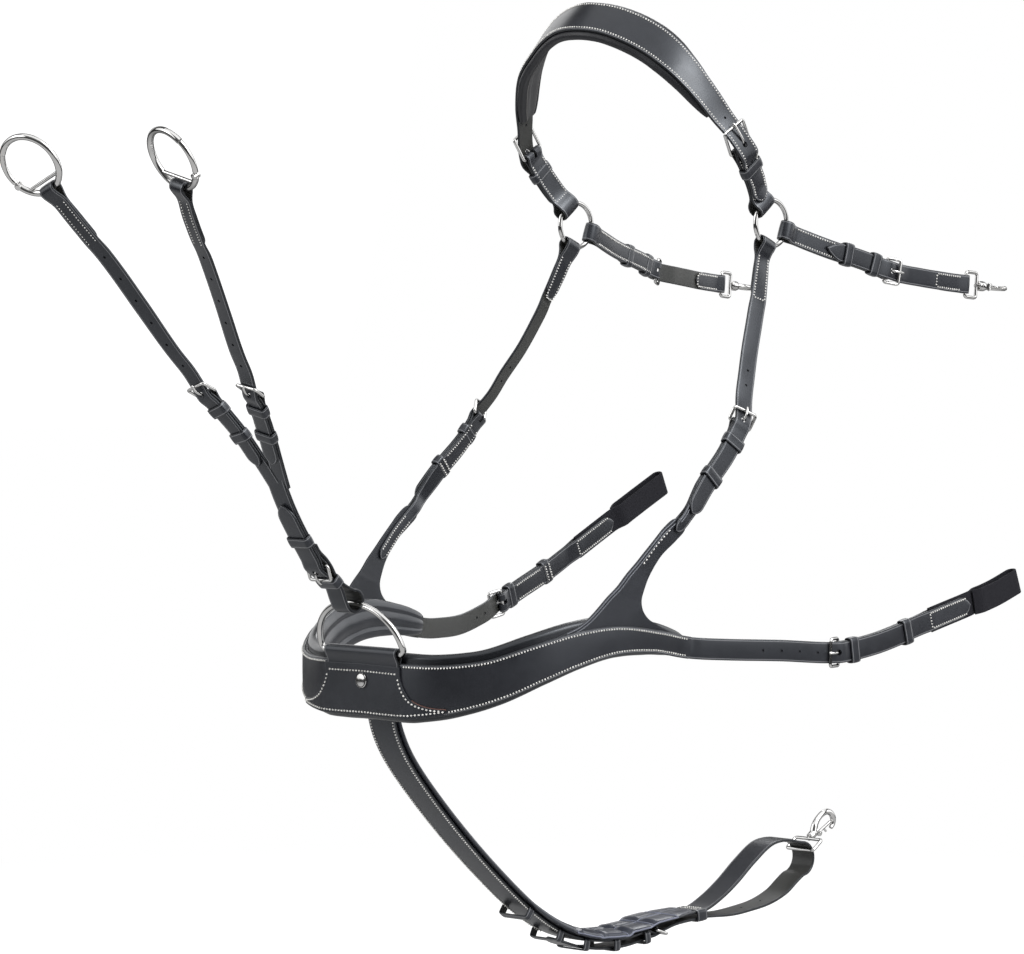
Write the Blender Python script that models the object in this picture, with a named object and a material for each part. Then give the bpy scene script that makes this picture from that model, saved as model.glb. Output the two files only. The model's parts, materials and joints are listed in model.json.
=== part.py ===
"""Hunting breastplate with a martingale fork and a belly strap, built as it lies on a horse.

Metres, +Z up. The horse faces -Y and its near (left) side is +X. The origin is the middle of the
wither pad's underside, where the whole harness hangs on the withers.

Every strap is drawn on a Route: a smooth line with an outward direction. A place on it is given as
s (distance along it), n (distance outwards) and b (distance across the strap).
"""
from bisect import bisect_right
from math import cos, pi, radians, sin, sqrt

import bmesh
import bpy
from mathutils import Vector
from mathutils.geometry import delaunay_2d_cdt

MM = 0.001

# Leather and lining
LAYER = 1.9 * MM
BILLET_THICK = 2.6 * MM
KEEPER_WALL = 1.4 * MM
KEEPER_LENGTH = 9.0 * MM
PANEL_THICK = 2.6 * MM
GAP = 0.3 * MM
SIDE_PLAY = 0.6 * MM

# Strap widths
WITHER_WIDTH = 36.0 * MM
WITHER_BILLET_WIDTH = 20.0 * MM
SHOULDER_WIDTH = 18.0 * MM
GIRTH_WIDTH = 20.0 * MM
SADDLE_WIDTH = 18.0 * MM
ARM_WIDTH = 17.0 * MM
STEM_WIDTH = 22.0 * MM
BELLY_WIDTH = 36.0 * MM
BELLY_LOOP_WIDTH = 25.0 * MM

# Metalwork
BUCKLE_WIRE = 1.6 * MM
BUCKLE_DEPTH = 13.0 * MM
TONGUE_WIRE = 1.2 * MM
HOLE_RADIUS = 2.9 * MM
SMALL_HOLE_RADIUS = 1.8 * MM
WITHER_RING_RADIUS = 22.0 * MM
WITHER_RING_WIRE = 2.3 * MM
REIN_RING_RADIUS = 28.0 * MM
REIN_RING_WIRE = 2.6 * MM
REIN_BAR_WIRE = 1.7 * MM
CHEST_RING_HALF = 54.0 * MM
CHEST_RING_HEIGHT = 48.0 * MM
CHEST_RING_WIRE = 3.0 * MM
STEM_LOOP_BORE = 8.5 * MM
CHEST_RING_SAG = 1.2 * MM
STUD_RADIUS = 7.0 * MM

# Snap hooks
SNAP_WIRE = 2.2 * MM
SNAP_GATE_WIRE = 1.5 * MM
SNAP_BARREL = 4.2 * MM
SNAP_BARREL_LENGTH = 9.0 * MM
SNAP_PIN = 1.5 * MM
SNAP_EYE_WIRE = 1.7 * MM
SNAP_EYE_DEPTH = 15.0 * MM
RUNNING_PLAY = 0.3 * MM

# Padding
WITHER_PAD_THICK = 10.0 * MM
WITHER_PAD_EDGE = 5.0 * MM
COLLAR_PAD_THICK = 13.0 * MM
COLLAR_PAD_EDGE = 6.5 * MM
BELLY_PAD_THICK = 8.5 * MM

# Elastic girth loops
ELASTIC_THICK = 2.4 * MM
ELASTIC_OPEN = 7.0 * MM
ELASTIC_WIDTH = 24.0 * MM

# Layers that lie on each other share their stations, this far apart
LAYER_STEP = 12.0 * MM
LAP_STEP = 15.0 * MM

STACK_HALF = LAYER
FOLD_BORE = BUCKLE_WIRE + 0.45 * MM
FOLD_OUTER = FOLD_BORE + LAYER
LAP_LEVEL = STACK_HALF + GAP + BILLET_THICK / 2
OVER_LEVEL = FOLD_OUTER + GAP + BILLET_THICK / 2
FRONT_LEVEL = 2.4 * MM
FRONT_BAR_LEVEL = FRONT_LEVEL + BILLET_THICK / 2 + GAP + BUCKLE_WIRE + 0.3 * MM

FINISHES = {
    "black_leather": ((0.021, 0.022, 0.026), 0.42, 0.0),
    "soft_leather": ((0.017, 0.018, 0.024), 0.50, 0.0),
    "elastic": ((0.012, 0.012, 0.015), 0.85, 0.0),
    "nickel": ((0.72, 0.71, 0.69), 0.16, 1.0),
}


def clear_scene():
    for obj in list(bpy.data.objects):
        bpy.data.objects.remove(obj, do_unlink=True)


def finish(name):
    """One of the object's materials, made the first time it is asked for."""
    found = bpy.data.materials.get(name)
    if found:
        return found
    colour, rough, metal = FINISHES[name]
    made = bpy.data.materials.new(name)
    made.use_nodes = True
    shader = made.node_tree.nodes["Principled BSDF"]
    shader.inputs["Base Color"].default_value = (*colour, 1.0)
    shader.inputs["Roughness"].default_value = rough
    shader.inputs["Metallic"].default_value = metal
    made.diffuse_color = (*colour, 1.0)
    return made


def mm(*values):
    return Vector([v * MM for v in values])


def mirrored(points):
    """The same points on the horse's other side."""
    return [(-x, y, z) for x, y, z in points]


class Route:
    """A smooth line through points in millimetres, with an outward direction at each."""

    STEP = 2.0 * MM

    def __init__(self, points, outward):
        knots = [mm(*p) for p in points]
        hints = [Vector(v).normalized() for v in outward]
        first = knots[0] * 2 - knots[1]
        last = knots[-1] * 2 - knots[-2]
        padded = [first, *knots, last]
        self.points = []
        self.hints = []
        self.knots = []
        for i in range(len(knots) - 1):
            p0, p1, p2, p3 = padded[i : i + 4]
            span = (p2 - p1).length
            m1 = (p2 - p0) * (span / ((p2 - p1).length + (p1 - p0).length))
            m2 = (p3 - p1) * (span / ((p3 - p2).length + (p2 - p1).length))
            count = max(2, round(span / self.STEP))
            self.knots.append(len(self.points))
            for k in range(count):
                t = k / count
                h1 = 2 * t**3 - 3 * t**2 + 1
                h2 = t**3 - 2 * t**2 + t
                h3 = 3 * t**2 - 2 * t**3
                h4 = t**3 - t**2
                self.points.append(p1 * h1 + m1 * h2 + p2 * h3 + m2 * h4)
                self.hints.append(hints[i].lerp(hints[i + 1], t))
        self.knots.append(len(self.points))
        self.points.append(knots[-1])
        self.hints.append(hints[-1])
        self.along = [0.0]
        for a, b in zip(self.points, self.points[1:]):
            self.along.append(self.along[-1] + (b - a).length)
        self.length = self.along[-1]

    def knot(self, index):
        """How far along the line its given point number index lies."""
        return self.along[self.knots[index]]

    def read(self, values, s):
        i = min(max(bisect_right(self.along, s) - 1, 0), len(values) - 2)
        t = (s - self.along[i]) / (self.along[i + 1] - self.along[i])
        return values[i] + (values[i + 1] - values[i]) * t

    def axes(self, s):
        """Directions along the strap, outwards from it and across it."""
        reach = 1.5 * self.STEP
        near = min(max(s, 0.0), self.length)
        ahead = self.read(self.points, min(near + reach, self.length))
        along = (ahead - self.read(self.points, max(near - reach, 0.0))).normalized()
        out = self.read(self.hints, near)
        out = (out - along * out.dot(along)).normalized()
        return along, out, out.cross(along)

    def place(self, s, n=0.0, b=0.0):
        along, out, across = self.axes(s)
        near = min(max(s, 0.0), self.length)
        return self.read(self.points, near) + along * (s - near) + out * n + across * b


def make_object(name, points, faces, material, smooth=None):
    """A closed mesh from points and faces, with its faces turned outwards."""
    mesh = bpy.data.meshes.new(name)
    mesh.from_pydata([tuple(p) for p in points], [], faces)
    form = bmesh.new()
    form.from_mesh(mesh)
    bmesh.ops.recalc_face_normals(form, faces=form.faces)
    form.to_mesh(mesh)
    form.free()
    if smooth:
        mesh.shade_smooth()
        mesh.set_sharp_from_angle(angle=radians(smooth))
    obj = bpy.data.objects.new(name, mesh)
    obj.data.materials.append(finish(material))
    bpy.context.scene.collection.objects.link(obj)
    return obj


def merged(parts):
    """Several (points, faces) lists as one."""
    points, faces = [], []
    for some_points, some_faces in parts:
        start = len(points)
        points.extend(some_points)
        faces.extend([tuple(i + start for i in face) for face in some_faces])
    return points, faces


def combine(obj, parts, operation):
    """Joins helper shapes to an object, or cuts them from it, with a live Boolean."""
    helper = make_object(f"{obj.name}_{len(obj.modifiers)}", *merged(parts), "nickel")
    helper.hide_render = True
    helper.display_type = "WIRE"
    modifier = obj.modifiers.new(f"{operation.title()} {len(obj.modifiers)}", "BOOLEAN")
    modifier.operation = operation
    modifier.object = helper
    modifier.solver = "EXACT"


def filled(loops, ribs=()):
    """Triangles that fill the first loop and leave the others open, with edges along the ribs."""
    flat = [Vector(p[:2]) * 1000 for loop in loops for p in loop]
    edges, start = [], 0
    for loop in loops:
        count = len(loop)
        edges.extend((start + i, start + (i + 1) % count) for i in range(count))
        start += count
    outline = list(edges)
    for rib in ribs:
        edges.append((len(flat), len(flat) + 1))
        flat.extend(Vector(p) * 1000 for p in rib)
    made = delaunay_2d_cdt(flat, edges, [], 1, 1e-5)
    back = [min(origin) for origin in made[3]]
    faces = [tuple(back[i] for i in face) for face in made[2]]
    return [face for face in faces if inside(sum((flat[i] for i in face), Vector((0, 0))) / 3, flat, outline)]


def inside(point, corners, edges):
    """True where a line from the point crosses an odd number of edges."""
    crossings = 0
    for i, j in edges:
        a, b = corners[i], corners[j]
        if (a.y > point.y) != (b.y > point.y):
            if point.x < a.x + (b.x - a.x) * (point.y - a.y) / (b.y - a.y):
                crossings += 1
    return crossings % 2 == 1


def extruded(loops, low, high, ribs=()):
    """A solid between two copies of a filled outline, with low and high giving each point's places.

    Walls are split the same way in every layer, so that twisted layers still lie flat on each other.
    """
    flat = [p for loop in loops for p in loop] + [p for rib in ribs for p in rib]
    count = len(flat)
    points = [low(p) for p in flat] + [high(p) for p in flat]
    caps = filled(loops, ribs)
    faces = [tuple(reversed(face)) for face in caps]
    faces.extend(tuple(i + count for i in face) for face in caps)
    start = 0
    for loop in loops:
        size = len(loop)
        for i in range(size):
            a, b = start + i, start + (i + 1) % size
            if flat[a][0] <= flat[b][0]:
                faces.extend([(a, b, b + count), (a, b + count, a + count)])
            else:
                faces.extend([(a, b, a + count), (b, b + count, a + count)])
        start += size
    return points, faces


def circle(s, n, radius, sides=8):
    """A bore's outline, whose flats touch the radius from outside."""
    corner = radius / cos(pi / sides)
    turns = [2 * pi * (k + 0.5) / sides for k in range(sides)]
    return [(s + corner * cos(turn), n + corner * sin(turn)) for turn in turns]


def fold(s, side, bore, thick=LAYER, steps=5):
    """The outside of a strap's folded end, from its underside to its upper side."""
    radius = bore + thick
    turn = radians(118)
    return [
        (s + side * radius * cos(turn * (2 * k / steps - 1)), radius * sin(turn * (2 * k / steps - 1)))
        for k in range(steps + 1)
    ]


def side_outline(stations, start=(), end=()):
    """A strap seen edge-on: stations are (s, underside, upper side), with folds at either end."""
    under = [(s, low) for s, low, _ in stations]
    upper = [(s, high) for s, _, high in reversed(stations)]
    return [*under, *end, *upper, *reversed(start)]


def rounded(half, ends, keep=0.34):
    """Half the width along a strap whose listed ends are rounded, as (s, side)."""

    def width(s):
        for tip, side in ends:
            run = half - side * (tip - s)
            if run > 0:
                share = min(run / half, 1.0)
                return half * max(sqrt(1 - share * share), keep)
        return half

    return width


def tip_stops(tip, side, half):
    """Stations that a rounded end needs, from the strap's body to its tip."""
    return [tip - side * half * share for share in (1.0, 0.6, 0.28, 0.0)]


def strap(name, route, outline, bores=(), half=None, width=None, material="black_leather"):
    """A strap from its edge-on outline, as wide as width(s) says."""
    across = width or (lambda s: half)
    shape = extruded(
        [outline, *bores],
        lambda p: route.place(p[0], p[1], -across(p[0])),
        lambda p: route.place(p[0], p[1], across(p[0])),
    )
    return make_object(name, *shape, material)


def panel(name, route, outline, low, high, ribs=(), material="black_leather"):
    """A flat piece from its (s, b) outline, lying between the levels low and high and bent at its ribs."""
    shape = extruded(
        [outline],
        lambda p: route.place(p[0], low, p[1]),
        lambda p: route.place(p[0], high, p[1]),
        ribs,
    )
    return make_object(name, *shape, material)


def tube_mesh(points, radius, sides=8, closed=False, flat=None):
    """A round bar through points. radius is one size or one for each point."""
    count = len(points)
    sizes = radius if isinstance(radius, list) else [radius] * count
    around = []
    side_axis = None
    for i, point in enumerate(points):
        ahead = points[(i + 1) % count] if closed or i < count - 1 else point
        behind = points[i - 1] if closed or i > 0 else point
        along = (ahead - behind).normalized()
        if side_axis is None:
            side_axis = flat or along.orthogonal()
        side_axis = (side_axis - along * side_axis.dot(along)).normalized()
        other = along.cross(side_axis)
        for k in range(sides):
            angle = 2 * pi * (k + 0.5) / sides
            around.append(point + (side_axis * cos(angle) + other * sin(angle)) * sizes[i])
    faces = []
    for i in range(count if closed else count - 1):
        j = (i + 1) % count
        for k in range(sides):
            m = (k + 1) % sides
            faces.append((i * sides + k, i * sides + m, j * sides + m, j * sides + k))
    if not closed:
        faces.append(tuple(reversed(range(sides))))
        faces.append(tuple(range((count - 1) * sides, count * sides)))
    return around, faces


def keeper_mesh(route, s, half, low, high, length=KEEPER_LENGTH, wall=KEEPER_WALL):
    """A leather keeper: a flat band round everything between low and high."""
    inner = [(half, low), (half, high), (-half, high), (-half, low)]
    outer = [(half + wall, low - wall), (half + wall, high + wall)]
    outer += [(-half - wall, high + wall), (-half - wall, low - wall)]
    points = []
    for end in (s - length / 2, s + length / 2):
        points.extend(route.place(end, n, b) for b, n in inner)
        points.extend(route.place(end, n, b) for b, n in outer)
    faces = []
    for k in range(4):
        m = (k + 1) % 4
        faces.append((k, m, m + 4, k + 4))
        faces.append((k + 8, k + 12, m + 12, m + 8))
        faces.append((k, k + 8, m + 8, m))
        faces.append((k + 4, m + 4, m + 12, k + 12))
    return points, faces


def add_keepers(obj, route, places, half, level=LAP_LEVEL):
    """Keepers that hold a billet down on a chape, sewn into the chape."""
    low = -STACK_HALF + LAYER / 2
    high = level + BILLET_THICK / 2 + 2 * GAP
    parts = [keeper_mesh(route, s, half + SIDE_PLAY, low, high) for s in places]
    combine(obj, parts, "UNION")


def hole_mesh(route, s, radius, depth=8 * MM, level=0.0):
    """A punched hole's cutter, straight through a strap."""
    low = route.place(s, level - depth, 0)
    high = route.place(s, level + depth, 0)
    return tube_mesh([low, high], radius, 6)


def slot_mesh(route, s, half_length, half_width, depth):
    """A cutter for the gap in a fold where the tongue stands on its bar."""
    corners = []
    for end in (s - half_length, s + half_length):
        for n in (-depth, depth):
            for b in (-half_width, half_width):
                corners.append(route.place(end, n, b))
    faces = [(0, 1, 3, 2), (4, 6, 7, 5), (0, 4, 5, 1), (2, 3, 7, 6), (0, 2, 6, 4), (1, 5, 7, 3)]
    return corners, faces


def billet_level(s, heel, side):
    """How high a billet's middle lies: under the front bar, over the heel bar, then on the chape."""
    stops = [
        (-24 * MM, LAP_LEVEL),
        (-9 * MM, LAP_LEVEL + 0.4 * MM),
        (0.0, OVER_LEVEL),
        (BUCKLE_DEPTH, FRONT_LEVEL),
        (BUCKLE_DEPTH + 15 * MM, 0.0),
    ]
    d = side * (s - heel)
    if d <= stops[0][0]:
        return stops[0][1]
    for (d1, n1), (d2, n2) in zip(stops, stops[1:]):
        if d <= d2:
            return n1 + (n2 - n1) * (d - d1) / (d2 - d1)
    return 0.0


def billet_stops(heel, side):
    """Stations where a billet bends at its buckle."""
    return [heel + side * d for d in (-24 * MM, -9 * MM, 0.0, BUCKLE_DEPTH, BUCKLE_DEPTH + 15 * MM)]


def billet_stations(places, heel, side, half_thick=BILLET_THICK / 2):
    stations = []
    for s in sorted(places):
        level = billet_level(s, heel, side)
        stations.append((s, level - half_thick, level + half_thick))
    return stations


def buckle(name, route, heel, side, width):
    """A single-bar buckle with its tongue: heel bar in the chape's fold, front bar over the billet."""
    half = width / 2 + BUCKLE_WIRE + 2 * SIDE_PLAY
    rise = FRONT_BAR_LEVEL / BUCKLE_DEPTH
    corner = 2.2 * MM
    path = [(0.0, -half + corner), (corner, -half), (BUCKLE_DEPTH - corner, -half)]
    path.append((BUCKLE_DEPTH, -half + corner))
    path += [(d, -b) for d, b in reversed(path)]

    def at(d, n, b):
        return route.place(heel + side * d, n, b)

    frame = tube_mesh([at(d, d * rise, b) for d, b in path], BUCKLE_WIRE, 6, closed=True)
    obj = make_object(name, *frame, "nickel", smooth=50)
    top = FRONT_BAR_LEVEL + BUCKLE_WIRE + TONGUE_WIRE + 0.2 * MM
    line = [(0.0, 0.6 * MM), (2.4 * MM, 3.2 * MM), (4.9 * MM, 6.6 * MM), (8.4 * MM, 8.6 * MM)]
    line += [(BUCKLE_DEPTH, max(top, 8.8 * MM)), (BUCKLE_DEPTH + 2.6 * MM, top - 0.6 * MM)]
    tongue = tube_mesh([at(d, n, 0) for d, n in line], TONGUE_WIRE, 6, flat=route.axes(heel)[2])
    combine(obj, [tongue], "UNION")
    return obj


def billet_hole(route, heel, side):
    """Where the tongue comes up through the billet."""
    return hole_mesh(route, heel + side * 3.7 * MM, HOLE_RADIUS, level=OVER_LEVEL)


def fold_slot(route, heel, side):
    """The gap for the tongue in the chape's fold."""
    middle = heel + side * 0.4 * MM
    return slot_mesh(route, middle, FOLD_OUTER + 0.8 * MM, TONGUE_WIRE + 0.8 * MM, 2 * FOLD_OUTER)


def ring_mesh(centre, axis_a, axis_b, radius, wire, steps=20, sides=6):
    points = []
    for k in range(steps):
        angle = 2 * pi * k / steps
        points.append(centre + (axis_a * cos(angle) + axis_b * sin(angle)) * radius)
    return tube_mesh(points, wire, sides, closed=True, flat=axis_a.cross(axis_b))


def ring_bore(wire, radius, half_width):
    """The bore that a curved wire needs where a strap of this half width folds round it."""
    sag = radius - sqrt(radius * radius - half_width * half_width)
    return wire + sag + 0.7 * MM


def spaced(start, end, step):
    """Stations from start to end at about this spacing."""
    count = max(1, round(abs(end - start) / step))
    return [start + (end - start) * k / count for k in range(count + 1)]


def steps(start, end, step):
    """Stations from start towards end, always a whole number of steps apart."""
    count = int(abs(end - start) / step - 0.25)
    return [start + (end - start) / abs(end - start) * step * k for k in range(count + 1)]


def widths_between(stops, distance):
    """A size read off a list of (distance, size), level beyond either end."""
    if distance <= stops[0][0]:
        return stops[0][1]
    for (d1, w1), (d2, w2) in zip(stops, stops[1:]):
        if distance <= d2:
            return w1 + (w2 - w1) * (distance - d1) / (d2 - d1)
    return stops[-1][1]


def lofted(route, offset, places, rows):
    """A closed skin through rows of (b, n) points at places along a route."""
    points = []
    for d, row in zip(places, rows):
        points.extend(route.place(offset + d, n, b) for b, n in row)
    return points, skin_faces(len(rows), len(rows[0]))


def skin_faces(rows, size):
    faces = []
    for i in range(rows - 1):
        for k in range(size):
            m = (k + 1) % size
            faces.append((i * size + k, i * size + m, (i + 1) * size + m))
            faces.append((i * size + k, (i + 1) * size + m, (i + 1) * size + k))
    faces.append(tuple(reversed(range(size))))
    faces.append(tuple(range((rows - 1) * size, rows * size)))
    return faces


def ribbon(points, across, halves, half_thick):
    """A flat strip bent through points in one plane, with across as its width direction."""
    skin = []
    count = len(points)
    for i, point in enumerate(points):
        before = (point - points[max(i - 1, 0)]).normalized()
        after = (points[min(i + 1, count - 1)] - point).normalized()
        along = (before + after).normalized()
        lean = max(along.dot(after if i < count - 1 else before), 0.6)
        out = along.cross(across) * (half_thick / lean)
        side = across * halves[i]
        skin.extend([point - side - out, point + side - out, point + side + out, point - side + out])
    return skin, skin_faces(count, 4)


def cushion_section(width, top, thick, shoulder, steps=8):
    """A pad's section: flat against the strap, drawn in at its edges and crowned away from it."""
    row = [(-width + shoulder, top), (width - shoulder, top)]
    for k in range(steps + 1):
        angle = pi * k / steps
        bulge = sin(angle) ** 0.7 if 0 < k < steps else 0.0
        row.append((width * cos(angle), top - (0.3 + 0.7 * bulge) * thick))
    return row


def two_sided(near, centre=None):
    """A line from the far side to the near side, through the middle."""
    near = list(near)
    middle = [centre] if centre else []
    return mirrored(reversed(near)) + middle + near


def sided(near, side):
    """The near side's points, or their mirror image for the far side."""
    return near if side > 0 else mirrored(near)


# Where the routes run, in millimetres, with their outward directions
WITHER_RING_CENTRE = (129.0, 122.0, -184.0)
CHAPE_ANGLE = 128.0
SHOULDER_ANGLE = -113.0
SADDLE_ANGLE = -20.0


def on_wither_ring(angle, extra=0.0):
    """A point on the near wither ring's wire, at an angle from straight back towards up."""
    x, y, z = WITHER_RING_CENTRE
    reach = WITHER_RING_RADIUS / MM + extra
    return (x, y + reach * cos(radians(angle)), z + reach * sin(radians(angle)))


CREST_TILT = 42.0
CREST_SHIFT = 4.3
CREST_OUT = (0.0, -cos(radians(CREST_TILT)), sin(radians(CREST_TILT)))
CREST_LIFT = (WITHER_PAD_THICK + GAP + PANEL_THICK / 2) / MM
NEAR_WITHER = [
    (0.0, CREST_OUT[1] * CREST_LIFT + CREST_OUT[2] * CREST_SHIFT,
     CREST_OUT[2] * CREST_LIFT - CREST_OUT[1] * CREST_SHIFT),
    (36.0, 1.7, 5.9), (73.5, 14.3, -11.5), (101.5, 25.3, -35.5),
    (121.7, 41.6, -66.5), (134.5, 59.9, -98.3),
    (137.6, 73.1, -120.0), (134.7, 91.1, -143.4),
    on_wither_ring(CHAPE_ANGLE, 7.0), on_wither_ring(CHAPE_ANGLE),
]
NEAR_WITHER_OUT = [
    CREST_OUT, (0.25, -0.7, 0.67), (0.4, -0.66, 0.64), (0.8, -0.42, 0.43), (0.88, -0.3, 0.37),
    (0.95, -0.18, 0.22), (0.98, -0.12, 0.05), (1.0, 0.0, 0.0), (1.0, 0.0, 0.0), (1.0, 0.0, 0.0),
]
SHOULDER = [
    on_wither_ring(SHOULDER_ANGLE), on_wither_ring(SHOULDER_ANGLE, 8.0),
    (140.0, 90.0, -261.0), (150.0, 69.0, -303.0),
    (161.0, 51.0, -334.0), (171.0, 33.0, -368.0),
    (174.5, 10.0, -397.0), (177.0, -22.0, -426.0),
]
SHOULDER_OUT = [(1.0, 0.0, 0.0)] * 2
SHOULDER_OUT += [(0.96, -0.22, 0.15), (0.95, -0.27, 0.15), (0.95, -0.30, 0.12), (0.95, -0.30, 0.10)]
SHOULDER_OUT += [(0.97, -0.24, 0.05), (0.98, -0.18, 0.0)]
COLLAR_FRONT = (0.0, -285.0, -608.0)
NEAR_COLLAR = [
    (30.0, -285.0, -608.5), (57.0, -284.0, -608.5), (92.0, -270.0, -605.5),
    (125.0, -245.0, -597.0), (149.0, -210.0, -582.0), (164.0, -173.0, -570.0),
    (172.0, -133.0, -564.0), (177.0, -89.0, -567.0), (179.0, -45.0, -575.0),
    (190.0, -10.0, -578.0),
]
COLLAR_OUT = [(0.0, -1.0, 0.0), (0.14, -0.99, 0.0), (0.5, -0.87, 0.0), (0.72, -0.69, 0.0)]
COLLAR_OUT += [(0.87, -0.5, 0.0), (0.95, -0.32, 0.0), (0.985, -0.17, 0.0), (0.995, -0.1, 0.0)]
COLLAR_OUT += [(0.99, -0.12, 0.0), (0.96, -0.28, 0.0)]
COLLAR_HALVES = [25.5, 25.5, 25.0, 22.5, 19.5, 17.5, 16.0, 14.5, 12.5, 11.0, 10.0]
COLLAR_END = 8
GIRTH_START = 4
GIRTH_POINTS = {
    "near": [
        (209.0, 46.0, -581.0), (224.0, 106.0, -585.0), (230.0, 150.0, -580.0),
        (233.0, 195.0, -570.0), (235.0, 239.0, -559.0), (236.5, 282.0, -549.0),
        (237.0, 321.0, -540.0), (237.0, 358.0, -528.0),
    ],
    "far": [
        (-209.0, 46.0, -577.0), (-222.0, 109.0, -561.0), (-226.0, 146.0, -547.0),
        (-229.0, 182.0, -533.0), (-232.0, 225.0, -513.0), (-234.0, 267.0, -493.0),
        (-236.0, 319.0, -468.0), (-237.0, 363.0, -447.0),
    ],
}
GIRTH_OUT = [(0.95, -0.3, 0.0)] * 2 + [(0.98, -0.2, 0.0)] + [(1.0, -0.1, 0.0)] * 5
SADDLE = [
    on_wither_ring(SADDLE_ANGLE), on_wither_ring(SADDLE_ANGLE, 9.0),
    (139.0, 192.0, -208.0), (146.0, 234.0, -219.0),
    (152.0, 266.0, -229.0), (157.0, 314.0, -236.0),
    (160.0, 348.0, -240.0), (162.0, 370.0, -242.0),
]
SADDLE_OUT = [(1.0, 0.0, 0.0)] * 2 + [(1.0, -0.12, 0.0)] * 6
CHEST_BAR = (0.0, -287.0, -575.0)
CHEST_RING_TILT = 20.0
STEM_OUT = (0.0, -0.8, -0.6)
CHEST_RING_UP = (0.0, -sin(radians(CHEST_RING_TILT)), cos(radians(CHEST_RING_TILT)))
STEM = [
    tuple(a + b * CHEST_RING_HEIGHT / MM for a, b in zip(CHEST_BAR, CHEST_RING_UP)),
    (0.0, -318.0, -519.0),
    (0.0, -344.0, -494.0),
    (0.0, -367.0, -463.0),
    (0.0, -383.0, -437.0),
    (0.0, -398.0, -406.0),
]
ARMS = {
    "near": [
        (4.1, -388.8, -422.9), (11.3, -403.7, -400.0), (22.5, -424.4, -370.8),
        (35.3, -450.6, -337.5), (45.5, -479.5, -302.0), (57.6, -507.4, -261.8),
        (69.8, -535.2, -223.9), (81.2, -563.8, -187.4), (88.6, -581.4, -158.8),
    ],
    "far": [
        (-2.1, -389.1, -424.0), (-7.6, -404.6, -399.6), (-15.0, -424.0, -370.8),
        (-27.5, -449.5, -338.6), (-40.1, -477.1, -303.0), (-51.7, -504.7, -262.3),
        (-62.5, -531.5, -223.6), (-74.8, -559.8, -186.9), (-85.9, -579.9, -159.1),
    ],
}
ARM_OUT = {
    "near": [(-0.02, -0.8, -0.6)] * 5 + [(-0.08, -0.78, -0.55)] * 3 + [(-0.13, -0.75, -0.53)],
    "far": [(0.02, -0.8, -0.6)] * 3 + [(0.14, -0.8, -0.55)] * 2 + [(0.26, -0.78, -0.5)] * 4,
}
BELLY = [
    (0.0, -266.4, -604.0), (0.0, -265.6, -627.0), (0.0, -259.0, -652.0),
    (0.0, -244.0, -678.0), (0.0, -213.0, -714.0), (0.0, -170.0, -757.0),
    (0.0, -125.0, -797.0), (0.0, -83.0, -830.0), (0.0, -46.0, -852.0),
    (0.0, -10.0, -864.0), (0.0, 30.0, -868.0), (0.0, 74.0, -865.0),
    (0.0, 122.0, -861.0), (0.0, 151.0, -858.5), (0.0, 176.0, -857.0),
]
BELLY_TURN = (0.0, 300.0, -814.0)
BELLY_TURN_RADIUS = 16.5
BELLY_SNAP_LEAN = 35.0
BELLY_EYE_DEPTH = 16.5 * MM
BELLY_SNAP_SIZE = 1.25


def wither_half(distance):
    """Half the wither strap's width at a distance from the crest."""
    half, narrow = WITHER_WIDTH / 2, WITHER_BILLET_WIDTH / 2
    stops = [(60 * MM, half), (105 * MM, half - 1.2 * MM), (145 * MM, half - 4 * MM)]
    stops += [(178 * MM, narrow + 1.3 * MM), (196 * MM, narrow)]
    return widths_between(stops, abs(distance))


WITHER_CHAPE_LENGTH = 66.0 * MM
WITHER_PAD_END = 192.0 * MM


def build_wither():
    """The strap over the withers and its pad, then each end's ring, chape and buckle."""
    line = two_sided(NEAR_WITHER[1:], NEAR_WITHER[0])
    out = two_sided(NEAR_WITHER_OUT[1:], NEAR_WITHER_OUT[0])
    route = Route(line, out)
    middle = route.length / 2
    heel = middle - WITHER_CHAPE_LENGTH
    tip = middle - 15 * MM
    narrow = WITHER_BILLET_WIDTH / 2
    tip_width = rounded(narrow, [(tip, 1)])

    grid = spaced(0.0, WITHER_PAD_END, LAYER_STEP)
    places = grid + billet_stops(heel, -1) + tip_stops(tip, 1, narrow)
    places = sorted(round(p, 6) for p in set(places))
    places = [-p for p in reversed(places) if p > 0] + places
    rows = []
    for d in places:
        width = wither_half(d) * tip_width(abs(d)) / narrow
        level = billet_level(abs(d), heel, -1)
        low, high = level - PANEL_THICK / 2, level + PANEL_THICK / 2
        crown = high + 0.6 * MM * (wither_half(d) / wither_half(0)) ** 2
        rows.append([(-width, low), (width, low), (width, high), (0.0, crown), (-width, high)])
    strap_obj = make_object("wither_strap", *lofted(route, middle, places, rows), "black_leather")
    holes = []
    for side in (-1, 1):
        for d, radius in ((heel - 26 * MM, SMALL_HOLE_RADIUS), (heel - 3.7 * MM, HOLE_RADIUS),
                          (heel + 13 * MM, SMALL_HOLE_RADIUS)):
            holes.append(hole_mesh(route, middle + side * d, radius, level=LAP_LEVEL))
    combine(strap_obj, holes, "DIFFERENCE")

    top = -PANEL_THICK / 2 - GAP
    stops = [-d for d in reversed(grid[1:])] + grid
    rows = []
    for d in stops:
        fade = sqrt(max(1 - (abs(d) / (WITHER_PAD_END + 3 * MM)) ** 6, 0.0))
        width = (wither_half(d) + WITHER_PAD_EDGE) * (0.55 + 0.45 * fade)
        rows.append(cushion_section(width, top, WITHER_PAD_THICK * (0.35 + 0.65 * fade), 2.0 * MM))
    make_object("wither_pad", *lofted(route, middle, stops, rows), "soft_leather", smooth=50)
    for name, side in (("near", 1), ("far", -1)):
        build_wither_end(name, side)


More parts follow.
